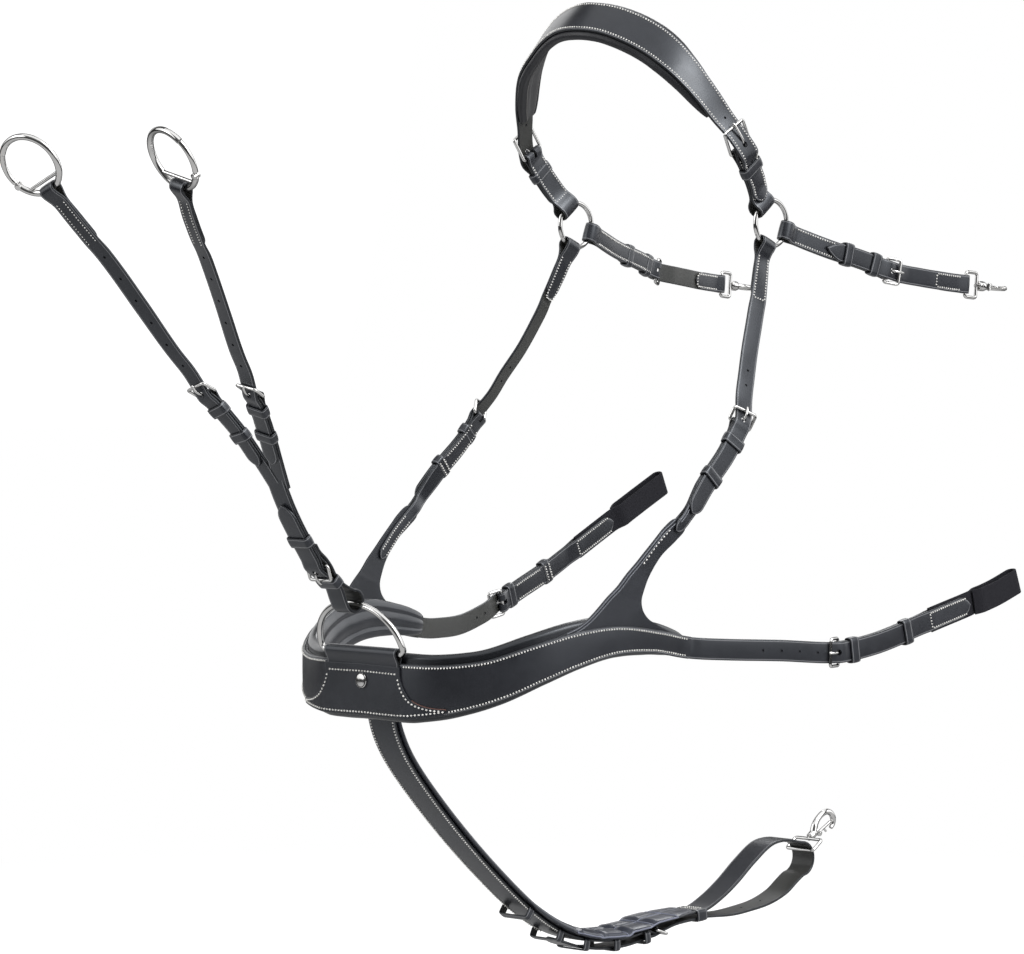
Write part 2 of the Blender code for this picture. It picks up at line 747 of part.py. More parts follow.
def build_wither_end(name, side):
    """Ring, chape and buckle at one end of the wither strap."""
    route = Route(sided(NEAR_WITHER, side), sided(NEAR_WITHER_OUT, side))
    end = route.length
    heel = end - WITHER_CHAPE_LENGTH
    half = WITHER_BILLET_WIDTH / 2
    bore = ring_bore(WITHER_RING_WIRE, WITHER_RING_RADIUS, half)
    stations = [(s, -STACK_HALF, STACK_HALF) for s in spaced(heel + 9 * MM, end - 14 * MM, 13 * MM)]
    outline = side_outline(stations, fold(heel, -1, FOLD_BORE), fold(end, 1, bore))
    chape = strap(f"{name}_wither_chape", route, outline,
                  [circle(heel, 0, FOLD_BORE), circle(end, 0, bore)], half)
    add_keepers(chape, route, [heel + 22 * MM], half)
    combine(chape, [fold_slot(route, heel, -1)], "DIFFERENCE")
    buckle(f"{name}_wither_buckle", route, heel, -1, WITHER_BILLET_WIDTH)
    x, y, z = WITHER_RING_CENTRE
    ring = ring_mesh(mm(side * x, y, z), Vector((0, 1, 0)), Vector((0, 0, 1)),
                     WITHER_RING_RADIUS, WITHER_RING_WIRE)
    make_object(f"{name}_wither_ring", *ring, "nickel", smooth=60)


def collar_route():
    return Route(two_sided(NEAR_COLLAR, COLLAR_FRONT), two_sided(COLLAR_OUT, (0.0, -1.0, 0.0)))


def collar_distance(route, index):
    """How far from the collar's middle the near side's point number index lies."""
    return route.knot(len(NEAR_COLLAR) + 1 + index) - route.length / 2


def collar_half(route, distance):
    """Half the height of the collar's face at a distance from its middle."""
    stops = [0.0] + [collar_distance(route, i) for i in range(len(NEAR_COLLAR))]
    return widths_between(list(zip(stops, (w * MM for w in COLLAR_HALVES))), abs(distance))


# The horn's edge, as (distance from the collar's point 6, height above its middle line)
HORN_POINT = 6
HORN_FRONT = [(-50, 17.4), (-38, 19.5), (-27, 24), (-16, 31.5), (-6.5, 40), (2.5, 48.5), (11, 60)]
HORN_FRONT += [(19, 70), (27, 81), (36, 93), (44, 104)]
HORN_BACK = [(57, 112), (65, 104), (59, 94), (51, 82), (42, 69), (35, 57), (29.5, 46), (26.5, 36), (29, 27)]
HORN_BACK += [(36, 20), (47, 15.5)]
GIRTH_LAP = 22.0 * MM


def ribs_between(under, over):
    """Edges across a panel at its stations, and the diagonals that a lofted layer has between them."""
    return list(zip(under, over)) + list(zip(under, over[1:]))


def build_collar():
    """The padded chest collar: its face, body with two horns, pad, overlay and stud."""
    route = collar_route()
    middle = route.length / 2
    face_end = collar_distance(route, COLLAR_END)
    grid = spaced(0.0, face_end, LAYER_STEP)
    places = [-d for d in reversed(grid[1:])] + grid
    rows = []
    for d in places:
        half, thin = collar_half(route, d), PANEL_THICK / 2
        rows.append([(-half, -thin), (half, -thin), (half, thin), (-half, thin)])
    make_object("collar_face", *lofted(route, middle, places, rows), "black_leather")

    top = -PANEL_THICK / 2 - GAP
    low = top - LAYER
    body_end = face_end - GIRTH_LAP - 0.6 * MM
    root = collar_distance(route, HORN_POINT)
    upper = [(d, collar_half(route, d)) for d in grid if d < root - 58 * MM]
    upper += [(root + d * MM, b * MM) for d, b in HORN_FRONT + HORN_BACK if root + d * MM < body_end]
    if upper[-1][0] < body_end - 4 * MM:
        upper.append((body_end, collar_half(route, body_end)))
    near = [d for d in grid if d < body_end - 2 * MM] + [body_end]
    places = [-d for d in reversed(near[1:])] + near
    outline = [(middle + d, -collar_half(route, d)) for d in places]
    outline += [(middle + d, b) for d, b in reversed(upper)]
    outline += [(middle - d, b) for d, b in upper[1:]]
    under = [(middle + d, -collar_half(route, d)) for d in places[1:-1]]
    over = []
    for d in places[1:-1]:
        inset = 0.0 if abs(d) < root - 58 * MM else 1.0 * MM
        over.append((middle + d, collar_half(route, d) - inset))
    panel("collar_body", route, outline, low, top, ribs_between(under, over))

    near = grid + [face_end + 2 * MM]
    stops = [-d for d in reversed(near[1:])] + near
    rows = []
    for d in stops:
        fade = sqrt(max(1 - (abs(d) / (face_end + 6 * MM)) ** 8, 0.0))
        width = collar_half(route, d) + COLLAR_PAD_EDGE * fade
        rows.append(cushion_section(width, low - GAP, COLLAR_PAD_THICK * (0.4 + 0.6 * fade), 2.5 * MM))
    make_object("collar_pad", *lofted(route, middle, stops, rows), "soft_leather", smooth=50)
    build_overlay(route, middle, grid)


OVERLAY_LOW = PANEL_THICK / 2 + GAP
OVERLAY_HIGH = OVERLAY_LOW + LAYER
ROLL_HALF = CHEST_RING_HALF - 6 * MM
ROLL_BORE = CHEST_RING_WIRE + 0.5 * MM
STUD_HEIGHT_ON_FACE = 7.0 * MM


def build_overlay(route, middle, grid):
    """The bell-shaped overlay in the middle of the collar, rolled round the chest ring's bar."""
    right = [(ROLL_HALF, 22 * MM), (ROLL_HALF + 2 * MM, 9 * MM), (ROLL_HALF + 9 * MM, -4 * MM)]
    right += [(ROLL_HALF + 15 * MM, -9.5 * MM), (ROLL_HALF + 24 * MM, -13.5 * MM)]
    right += [(ROLL_HALF + 34 * MM, -16 * MM), (ROLL_HALF + 44 * MM, -17.5 * MM)]
    reach = right[-1][0]
    near = [d for d in grid if d < reach - 3 * MM]
    line = [-d for d in reversed(near[1:])] + near
    base = [(d, 1.5 * MM - collar_half(route, d)) for d in reversed(line)]
    left = [(-d, b) for d, b in reversed(right)]
    top = [(d, 22 * MM) for d in line if abs(d) < ROLL_HALF - 3 * MM]
    outline = [(middle + d, b) for d, b in right + base + left + top]
    under, over = [], []
    for d in line:
        above = 22 * MM
        if abs(d) >= ROLL_HALF - 3 * MM:
            above = widths_between(right[1:], abs(d)) - 1.5 * MM
        if above > 3 * MM - collar_half(route, d):
            under.append((middle + d, 1.5 * MM - collar_half(route, d)))
            over.append((middle + d, above))
    overlay = panel("collar_overlay", route, outline, OVERLAY_LOW, OVERLAY_HIGH, ribs_between(under, over))

    centre = mm(*CHEST_BAR)
    bar_level = (COLLAR_FRONT[1] - CHEST_BAR[1]) * MM
    radius = ROLL_BORE + LAYER
    foot = 18 * MM - (CHEST_BAR[2] - COLLAR_FRONT[2]) * MM
    outer = [(radius * cos(radians(a)), radius * sin(radians(a))) for a in range(-20, 241, 26)]
    front, back = OVERLAY_HIGH - bar_level - 0.4 * MM, OVERLAY_LOW - bar_level + 0.5 * MM
    profile = [(front, foot), *outer, (back, -radius - 1.5 * MM), (back, foot)]
    half = ROLL_HALF - 1 * MM
    roll = extruded(
        [profile, circle(0.0, 0.0, ROLL_BORE)],
        lambda p: centre + Vector((-half, -p[0], p[1])),
        lambda p: centre + Vector((half, -p[0], p[1])),
    )
    combine(overlay, [roll], "UNION")

    levels = [OVERLAY_HIGH + GAP + h * MM for h in (0.0, 1.2, 2.2)]
    spine = [route.place(middle, level, STUD_HEIGHT_ON_FACE) for level in levels]
    sizes = [STUD_RADIUS, STUD_RADIUS, STUD_RADIUS * 0.75]
    make_object("chest_stud", *tube_mesh(spine, sizes, 16), "nickel", smooth=40)


def build_chest_ring():
    """The wide half-round ring whose straight bar turns in the overlay's roll."""
    bar = mm(*CHEST_BAR)
    up = Vector(CHEST_RING_UP)
    points = [bar + Vector((x * CHEST_RING_HALF, 0, 0)) for x in (-0.94, -0.3, 0.3, 0.94)]
    for k in range(1, 16):
        angle = pi * k / 16
        rise = CHEST_RING_HEIGHT * sin(angle) ** 0.85
        points.append(bar + Vector((CHEST_RING_HALF * cos(angle), 0, 0)) + up * rise)
    normal = Vector((1, 0, 0)).cross(up)
    ring = tube_mesh(points, CHEST_RING_WIRE, 6, closed=True, flat=normal)
    make_object("chest_ring", *ring, "nickel", smooth=60)


# The tug's middle line on the horn, as (distance, height) like the horn's edge
TUG_LAP = [(61.0, 116.0), (51.0, 100.0), (41.0, 85.0), (32.0, 72.0), (24.0, 60.0)]


def build_shoulder(name, side):
    """A shoulder strap down to its buckle, then the tug from there to the collar's horn."""
    collar = collar_route()
    middle = collar.length / 2
    root = collar_distance(collar, HORN_POINT)
    level = -PANEL_THICK / 2
    ends = []
    out = list(SHOULDER_OUT)
    for d, b in TUG_LAP:
        s = middle + root + d * MM
        ends.append(tuple(collar.place(s, level, b * MM) / MM))
        out.append(tuple(collar.axes(s)[1]))
    route = Route(sided(SHOULDER + ends, side), sided(out, side))
    half = SHOULDER_WIDTH / 2
    heel = route.knot(5) + 5 * MM
    bore = ring_bore(WITHER_RING_WIRE, WITHER_RING_RADIUS, half)
    tip = heel + 88 * MM
    stations = [(s, -STACK_HALF, STACK_HALF) for s in spaced(14 * MM, 60 * MM, 23 * MM)]
    places = spaced(64 * MM, heel - BUCKLE_DEPTH - 15 * MM, 20 * MM)[:-1] + billet_stops(heel, -1)
    places += steps(heel + 39 * MM, tip - half, LAP_STEP) + tip_stops(tip, 1, half)
    stations += billet_stations(places, heel, -1)
    outline = side_outline(stations, fold(0.0, -1, bore))
    obj = strap(f"{name}_shoulder_strap", route, outline, [circle(0.0, 0.0, bore)],
                width=rounded(half, [(tip, 1)]))
    holes = [billet_hole(route, heel, -1)]
    holes += [hole_mesh(route, heel - d * MM, SMALL_HOLE_RADIUS) for d in (42, 58, 74)]
    combine(obj, holes, "DIFFERENCE")

    end = route.knot(12)
    lap = route.knot(8)
    stations = [(s, -STACK_HALF, STACK_HALF) for s in steps(heel + 9 * MM, lap - 8 * MM, LAP_STEP)]
    stations += [(s, 0.0, LAYER) for s in (lap, route.knot(9), route.knot(10), *tip_stops(end, 1, half)[1:])]
    outline = side_outline(stations, fold(heel, -1, FOLD_BORE))
    tug = strap(f"{name}_shoulder_tug", route, outline, [circle(heel, 0, FOLD_BORE)],
                width=rounded(half, [(end, 1)], 0.45))
    add_keepers(tug, route, [heel + 21 * MM, heel + 66 * MM], half)
    combine(tug, [fold_slot(route, heel, -1)], "DIFFERENCE")
    buckle(f"{name}_shoulder_buckle", route, heel, -1, SHOULDER_WIDTH)


def build_girth(name, side):
    """A girth strap: billet from the collar, buckle, chape and elastic loop."""
    line = sided(NEAR_COLLAR[GIRTH_START:], side) + GIRTH_POINTS[name]
    out = sided(COLLAR_OUT[GIRTH_START:] + GIRTH_OUT, side)
    route = Route(line, out)
    start = route.knot(COLLAR_END - GIRTH_START) - GIRTH_LAP
    heel = route.knot(7) + 4 * MM
    tip = heel + 94 * MM
    half = GIRTH_WIDTH / 2
    skived = (-PANEL_THICK / 2 - GAP - LAYER, -PANEL_THICK / 2 - GAP)
    stations = [(s, *skived) for s in spaced(start, start + GIRTH_LAP + 1 * MM, 8 * MM)]
    places = spaced(start + GIRTH_LAP + 14 * MM, heel - BUCKLE_DEPTH - 15 * MM, 20 * MM)[:-1]
    places += billet_stops(heel, -1) + steps(heel + 39 * MM, tip - half, LAP_STEP)
    places += tip_stops(tip, 1, half)
    stations += billet_stations(places, heel, -1)
    obj = strap(f"{name}_girth_strap", route, side_outline(stations), width=rounded(half, [(tip, 1)]))
    holes = [billet_hole(route, heel, -1)]
    holes += [hole_mesh(route, heel - d * MM, SMALL_HOLE_RADIUS) for d in (36, 58, 80)]
    combine(obj, holes, "DIFFERENCE")

    patch_start = route.knot(10) - 8 * MM
    patch_end = route.knot(11) + 3 * MM
    tab_top = ELASTIC_THICK / 2 + GAP
    stations = [(s, -STACK_HALF, STACK_HALF) for s in steps(heel + 9 * MM, patch_start, LAP_STEP)]
    lap = [patch_start + 14 * MM, patch_start + 28 * MM, *tip_stops(patch_end, 1, half)]
    stations += [(s, tab_top, tab_top + LAYER) for s in lap]
    outline = side_outline(stations, fold(heel, -1, FOLD_BORE))
    chape = strap(f"{name}_girth_chape", route, outline, [circle(heel, 0, FOLD_BORE)],
                  width=rounded(half, [(patch_end, 1)], 0.5))
    add_keepers(chape, route, [heel + 16 * MM, route.knot(9)], half)
    combine(chape, [fold_slot(route, heel, -1)], "DIFFERENCE")
    buckle(f"{name}_girth_buckle", route, heel, -1, GIRTH_WIDTH)

    end = route.length
    split = patch_end + 4 * MM
    inner, thin = ELASTIC_OPEN / 2, ELASTIC_THICK / 2
    outer = inner + ELASTIC_THICK
    round_end = end - outer
    turn = [(round_end + outer * sin(radians(a)), -outer * cos(radians(a))) for a in range(0, 181, 30)]
    stations = [(s, -thin, thin) for s in lap] + [(split + 9 * MM, -outer, outer)]
    outline = [(s, low) for s, low, _ in stations] + turn + [(s, high) for s, _, high in reversed(stations)]
    bore_turn = [(round_end + inner * sin(radians(a)), -inner * cos(radians(a))) for a in range(0, 181, 30)]
    bore = [(split, 0.0), (split + 9 * MM, -inner), *bore_turn, (split + 9 * MM, inner)]
    strap(f"{name}_girth_elastic", route, outline, [bore], ELASTIC_WIDTH / 2, material="elastic")


def build_saddle(name, side):
    """A saddle strap: chape on the wither ring, buckle, and the billet that carries a snap hook."""
    route = Route(sided(SADDLE, side), sided(SADDLE_OUT, side))
    half = SADDLE_WIDTH / 2
    heel = route.knot(4) - 4 * MM
    bore = ring_bore(WITHER_RING_WIRE, WITHER_RING_RADIUS, half)
    stations = [(s, -STACK_HALF, STACK_HALF) for s in reversed(steps(heel - 9 * MM, 14 * MM, LAP_STEP))]
    outline = side_outline(stations, fold(0.0, -1, bore), fold(heel, 1, FOLD_BORE))
    chape = strap(f"{name}_saddle_chape", route, outline,
                  [circle(0.0, 0.0, bore), circle(heel, 0, FOLD_BORE)], half)
    add_keepers(chape, route, [heel - 17 * MM, heel - 52 * MM], half)
    combine(chape, [fold_slot(route, heel, 1)], "DIFFERENCE")
    buckle(f"{name}_saddle_buckle", route, heel, 1, SADDLE_WIDTH)
    buckled_end(f"{name}_saddle_billet", route, heel, heel - 78 * MM, half, SNAP_EYE_WIRE + 0.4 * MM,
                44 * MM, (36, 50))
    along, out, across = route.axes(route.length)
    bar = route.place(route.length)
    build_snap(f"{name}_snap", bar, along, out, across, SADDLE_WIDTH, SNAP_EYE_DEPTH)


def buckled_end(name, route, heel, tip, half, bore, stack, holes):
    """A billet from its tip, through the buckle at heel, to a sewn fold at the route's end."""
    end = route.length
    places = tip_stops(tip, -1, half) + steps(heel - 39 * MM, tip + half, LAP_STEP)
    places += billet_stops(heel, 1)
    start = end - stack
    places += spaced(heel + BUCKLE_DEPTH + 15 * MM, start - 4 * MM, 24 * MM)[1:]
    stations = billet_stations(places, heel, 1)
    stations += [(s, -STACK_HALF, STACK_HALF) for s in spaced(start, end - 4 * MM - 2 * bore, 20 * MM)]
    outline = side_outline(stations, (), fold(end, 1, bore))
    obj = strap(name, route, outline, [circle(end, 0.0, bore)], width=rounded(half, [(tip, -1)]))
    cutters = [billet_hole(route, heel, 1)]
    cutters += [hole_mesh(route, heel + d * MM, SMALL_HOLE_RADIUS) for d in holes]
    combine(obj, cutters, "DIFFERENCE")
    return obj


def pivot_cutter(centre, axis, radius, width):
    """A flat round cutter for the slot between a pivot's two cheeks."""
    return tube_mesh([centre - axis * width / 2, centre + axis * width / 2], radius, 12)


PIVOT_BOSS = 3.1 * MM
PIVOT_SLOT = 2.4 * MM
PIVOT_PIN = 0.9 * MM
KNUCKLE = 2.6 * MM
KNUCKLE_THICK = 1.7 * MM
KNUCKLE_BORE = PIVOT_PIN + RUNNING_PLAY


def add_pivot(obj, centre, axis, length):
    """Two cheeks and a pin for a sprung gate."""
    half = axis * length / 2
    combine(obj, [tube_mesh([centre - half, centre + half], PIVOT_BOSS, 12)], "UNION")
    combine(obj, [pivot_cutter(centre, axis, KNUCKLE + 0.7 * MM, PIVOT_SLOT)], "DIFFERENCE")
    pin = axis * (length / 2 - 0.6 * MM)
    combine(obj, [tube_mesh([centre - pin, centre + pin], PIVOT_PIN, 6)], "UNION")


def sprung_gate(name, centre, axis, bar, neck):
    """A gate: a round bar, with a neck to a flat knuckle that turns on the pivot's pin."""
    half = axis * KNUCKLE_THICK / 2
    obj = make_object(name, *tube_mesh([centre - half, centre + half], KNUCKLE, 12), "nickel", smooth=50)
    side = axis.cross((bar[0] - centre).normalized())
    reach = (bar[0] - centre).length
    towards = (bar[0] - centre).normalized()
    corners = []
    for d in (KNUCKLE * 0.45, reach + 1.2 * MM):
        for b in (-1, 1):
            for h in (-1, 1):
                corners.append(centre + towards * d + axis * (b * KNUCKLE_THICK * 0.42) + side * (h * neck))
    faces = [(0, 1, 3, 2), (4, 6, 7, 5), (0, 4, 5, 1), (2, 3, 7, 6), (0, 2, 6, 4), (1, 5, 7, 3)]
    combine(obj, [(corners, faces)], "UNION")
    combine(obj, [tube_mesh([centre - 2 * half, centre + 2 * half], KNUCKLE_BORE, 8)], "DIFFERENCE")
    return obj


def build_snap(name, bar, along, out, across, width, depth, size=1.0):
    """A swivel snap hook whose square eye holds a strap's fold on the bar nearest the strap.

    size stretches the hook and its barrel, but not the swivel's pin or the trigger's pivot.
    """
    half = width / 2 + SNAP_EYE_WIRE + 1.6 * MM
    corner = 2.5 * MM

    def at(a, c, b=0.0):
        return bar + along * (depth + a * MM) + out * (c * MM) + across * b

    def on_hook(a, c):
        return at(9.5 + (a - 9.5) * size, c * size)

    corners = [(-depth, corner - half), (corner - depth, -half), (-corner, -half), (0.0, corner - half)]
    corners += [(a, -b) for a, b in reversed(corners)]
    eye_points = [bar + along * (depth + a) + across * b for a, b in corners]
    eye = make_object(f"{name}_eye", *tube_mesh(eye_points, SNAP_EYE_WIRE, 6, closed=True, flat=out),
                      "nickel", smooth=50)
    pin = tube_mesh([at(a, 0) for a in (0.0, 5.0, 5.2, 7.6)],
                    [SNAP_PIN, SNAP_PIN, SNAP_PIN * 1.6, SNAP_PIN * 1.6], 8, flat=across)
    combine(eye, [pin], "UNION")

    play = RUNNING_PLAY
    body = make_object(f"{name}_body", *tube_mesh([at(a, 0) for a in (2.1, 3.2, 9.6, 13.2)],
                       [SNAP_BARREL * 0.86, SNAP_BARREL, SNAP_BARREL, SNAP_WIRE * size * 1.35], 12, flat=across),
                       "nickel", smooth=50)
    hook = [(9.5, -0.6), (14.0, -4.4), (20.0, -6.2), (27.0, -5.8), (32.0, -3.2), (34.6, 1.4), (33.8, 6.0),
            (31.0, 8.9), (27.6, 9.8)]
    wire = SNAP_WIRE * size
    sizes = [wire] * 7 + [wire * 0.85, wire * 0.75]
    combine(body, [tube_mesh([on_hook(a, c) for a, c in hook], sizes, 6, flat=across)], "UNION")
    bore = tube_mesh([at(a, 0) for a in (-1.0, 4.6, 4.8, 8.0)],
                     [SNAP_PIN + play, SNAP_PIN + play, SNAP_PIN * 1.6 + play, SNAP_PIN * 1.6 + play], 8,
                     flat=across)
    combine(body, [bore], "DIFFERENCE")
    pivot = at(14.2, 3.4 * size)
    add_pivot(body, pivot, across, 2.2 * SNAP_WIRE + 1.2 * MM)

    gate = sprung_gate(f"{name}_trigger", pivot, across, [on_hook(18.6, 3.9)], 1.2 * MM)
    shape = tube_mesh([on_hook(18.4, 3.9), on_hook(29.6, 5.3)], SNAP_GATE_WIRE, 6, flat=across)
    combine(gate, [shape], "UNION")
    thumb = [on_hook(20.6, 4.4), on_hook(21.4, 8.2)]
    combine(gate, [tube_mesh(thumb, SNAP_GATE_WIRE * 0.8, 6, flat=across)], "UNION")


def build_martingale():
    """The fork above the chest ring: its buckled stem loop, two arms and the rein rings."""
    route = Route(STEM, [STEM_OUT] * len(STEM))
    half = STEM_WIDTH / 2
    heel = route.knot(2)
    end = route.length - 6 * MM
    stations = [(s, -STACK_HALF, STACK_HALF) for s in steps(heel + 9 * MM, end, LAP_STEP) + [end]]
    outline = side_outline(stations, fold(heel, -1, FOLD_BORE))
    fork = strap("martingale_fork", route, outline, [circle(heel, 0, FOLD_BORE)], half)
    add_keepers(fork, route, [heel + 30 * MM], half)
    cutters = [fold_slot(route, heel, -1)]
    for name, side in (("near", 1), ("far", -1)):
        arm = Route(ARMS[name], ARM_OUT[name])
        arm_heel = arm.knot(3)
        thin = STACK_HALF - 0.25 * MM
        start = 2 * MM
        rows = [(s, -thin, thin) for s in [start, *reversed(steps(arm_heel - 9 * MM, start, LAP_STEP))]]
        outline = side_outline(rows, (), fold(arm_heel, 1, FOLD_BORE))
        arm_solid = extruded(
            [outline, circle(arm_heel, 0, FOLD_BORE)],
            lambda p: arm.place(p[0], p[1], -ARM_WIDTH / 2),
            lambda p: arm.place(p[0], p[1], ARM_WIDTH / 2),
        )
        combine(fork, [arm_solid], "UNION")
        add_keepers(fork, arm, [arm_heel - 17 * MM, arm_heel - 48 * MM], ARM_WIDTH / 2)
        cutters.append(fold_slot(arm, arm_heel, 1))
        build_arm(name, side, arm, arm_heel)
    combine(fork, cutters, "DIFFERENCE")
    buckle("martingale_buckle", route, heel, -1, STEM_WIDTH)

    under = -STACK_HALF - GAP - BILLET_THICK / 2
    turn = STEM_LOOP_BORE + BILLET_THICK / 2
    tip = route.knot(4)
    dip = -FOLD_OUTER - GAP - BILLET_THICK / 2
    path = [(heel + 22 * MM, under), (heel + 14 * MM, under), (heel + 4 * MM, dip), (heel - 6 * MM, dip)]
    path += [(heel - 16 * MM, under), (27 * MM, under)]
    seat = STEM_LOOP_BORE - CHEST_RING_WIRE - CHEST_RING_SAG - GAP
    path += [(seat + turn * cos(radians(a)), turn * sin(radians(a))) for a in range(-52, -309, -32)]
    path += [(27 * MM, 0.0)]
    upper = [heel - BUCKLE_DEPTH, heel, heel + 9 * MM, heel + 24 * MM, heel + 40 * MM]
    path += [(s, billet_level(s, heel, -1)) for s in upper + tip_stops(tip, 1, half)]
    points = [route.place(s, n) for s, n in path]
    halves = [half] * (len(path) - 3) + [half * share for share in (0.92, 0.66, 0.34)]
    across = route.axes(heel)[2]
    loop = make_object("martingale_loop", *ribbon(points, across, halves, BILLET_THICK / 2), "black_leather")
    band = keeper_mesh(route, 33 * MM, half + SIDE_PLAY, under - 0.5 * MM, 3.6 * MM)
    combine(loop, [band], "UNION")
    combine(loop, [billet_hole(route, heel, -1)], "DIFFERENCE")


def build_arm(name, side, route, heel):
    """An arm's buckle and strap, and the rein ring with its gate at the strap's end."""
    half = ARM_WIDTH / 2
    buckle(f"{name}_arm_buckle", route, heel, 1, ARM_WIDTH)
    bore = ring_bore(REIN_RING_WIRE, REIN_RING_RADIUS, half)
    holes = [34 + 24 * k for k in range(6)]
    buckled_end(f"{name}_arm_strap", route, heel, heel - 80 * MM, half, bore, 62 * MM, holes)

    along, normal, across = route.axes(route.length)
    centre = route.place(route.length) + along * REIN_RING_RADIUS
    outer = across if across.x * side > 0 else -across

    def at(angle, radius=REIN_RING_RADIUS):
        return centre - along * (radius * cos(radians(angle))) + outer * (radius * sin(radians(angle)))

    pivot_angle, latch_angle = 70.0, 140.0
    pivot = at(pivot_angle)
    chord = (at(latch_angle) - pivot).normalized()
    body = [at(a) for a in spaced(pivot_angle - 2.0, latch_angle - 360.0 + 2.2, 14.0)]
    frame = tube_mesh(body, REIN_RING_WIRE, 6, flat=normal)
    square_end(frame[0], len(body) - 1, 6, body[-1], body[-2] - body[-1], chord)
    ring = make_object(f"{name}_rein_ring", *frame, "nickel", smooth=60)
    bar_reach = REIN_RING_RADIUS * sin(radians(50))
    bar_height = REIN_RING_RADIUS * cos(radians(50))
    bar = [centre - along * bar_height + outer * (bar_reach * x) for x in (-1, 1)]
    combine(ring, [tube_mesh(bar, REIN_BAR_WIRE, 6, flat=normal)], "UNION")
    add_pivot(ring, pivot, normal, 2 * REIN_RING_WIRE + 1 * MM)

    curve = [at(a) for a in spaced(pivot_angle + 9.0, latch_angle, 12.0)]
    gate = sprung_gate(f"{name}_rein_gate", pivot, normal, curve, 1.3 * MM)
    shape = tube_mesh(curve, REIN_RING_WIRE * 0.85, 6, flat=normal)
    square_end(shape[0], len(curve) - 1, 6, curve[-1], curve[-2] - curve[-1], chord)
    combine(gate, [shape], "UNION")


def square_end(points, row, sides, centre, along, normal):
    """Cuts a bar's end square to a direction other than its own."""
    for k in range(row * sides, (row + 1) * sides):
        slip = (centre - points[k]).dot(normal) / along.dot(normal)
        points[k] = points[k] + along * slip


CROSS_LOOP_DROP = 9.4 * MM
BELLY_PAD_TAIL = 50.0
CROSS_LOOPS = (-87.0, -47.0, -12.0, 29.0, 71.0)
QUILT_ROWS = (-31.0, 4.0, 39.0, 74.0, 109.0)


def belly_at(route, y):
    """How far along the belly route this height along the horse lies."""
    low, high = 0.0, route.length
    for _ in range(40):
        s = (low + high) / 2
        if route.place(s).y < y * MM:
            low = s
        else:
            high = s
    return low


def build_belly():
    """The strap between the forelegs, its quilted pad, and the buckled loop with its snap hook."""
    out = [(0.0, -1.0, -0.05), (0.0, -1.0, -0.1), (0.0, -0.9, -0.4), (0.0, -0.82, -0.57)]
    out += [(0.0, -0.75, -0.66), (0.0, -0.7, -0.7), (0.0, -0.66, -0.76), (0.0, -0.5, -0.86)]
    out += [(0.0, -0.3, -0.95), (0.0, -0.12, -1.0), (0.0, 0.0, -1.0), (0.0, 0.1, -1.0), (0.0, 0.1, -1.0)]
    out += [(0.0, 0.08, -1.0)] * 2
    route = Route(BELLY, out)
    heel = belly_at(route, 86.0)
    half = BELLY_WIDTH / 2
    under = BELLY_LOOP_WIDTH / 2
    narrow = [(0.0, half), (heel - 30 * MM, half - 2 * MM), (heel - 10 * MM, under)]
    shared = [s for s in belly_stations(route, heel) if s < heel - 12 * MM]
    places = [2 * MM, 14 * MM, *shared, heel - 9 * MM]
    stations = [(s, -PANEL_THICK / 2, PANEL_THICK / 2) for s in places]
    outline = side_outline(stations, (), fold(heel, 1, FOLD_BORE))
    strap_obj = strap("belly_strap", route, outline, [circle(heel, 0, FOLD_BORE)],
                      width=lambda s: widths_between(narrow, s))
    bands = [keeper_mesh(route, belly_at(route, y), BELLY_WIDTH / 2 - 1.2 * MM, 0.4 * MM,
                         CROSS_LOOP_DROP, 8 * MM) for y in CROSS_LOOPS]
    combine(strap_obj, bands, "UNION")
    combine(strap_obj, [fold_slot(route, heel, 1)], "DIFFERENCE")
    buckle("belly_buckle", route, heel, 1, BELLY_LOOP_WIDTH)
    build_belly_pad(route, heel)
    build_belly_loop(route, heel)


def belly_stations(route, heel):
    """Where the belly pad bends or is sewn down, from behind the collar to its end past the buckle."""
    quilt = [belly_at(route, y) for y in QUILT_ROWS]
    places = spaced(26 * MM, quilt[0] - 12 * MM, 22 * MM)
    for channel in quilt:
        places += [channel - 9 * MM, channel - 3 * MM, channel, channel + 3 * MM, channel + 9 * MM]
    places += [heel + d * MM for d in (-44, -40, -14, -6, 12, BELLY_PAD_TAIL - 5, BELLY_PAD_TAIL)]
    places = sorted(round(s, 5) for s in set(places))
    return [s for i, s in enumerate(places) if i == 0 or s - places[i - 1] > 1.5 * MM]


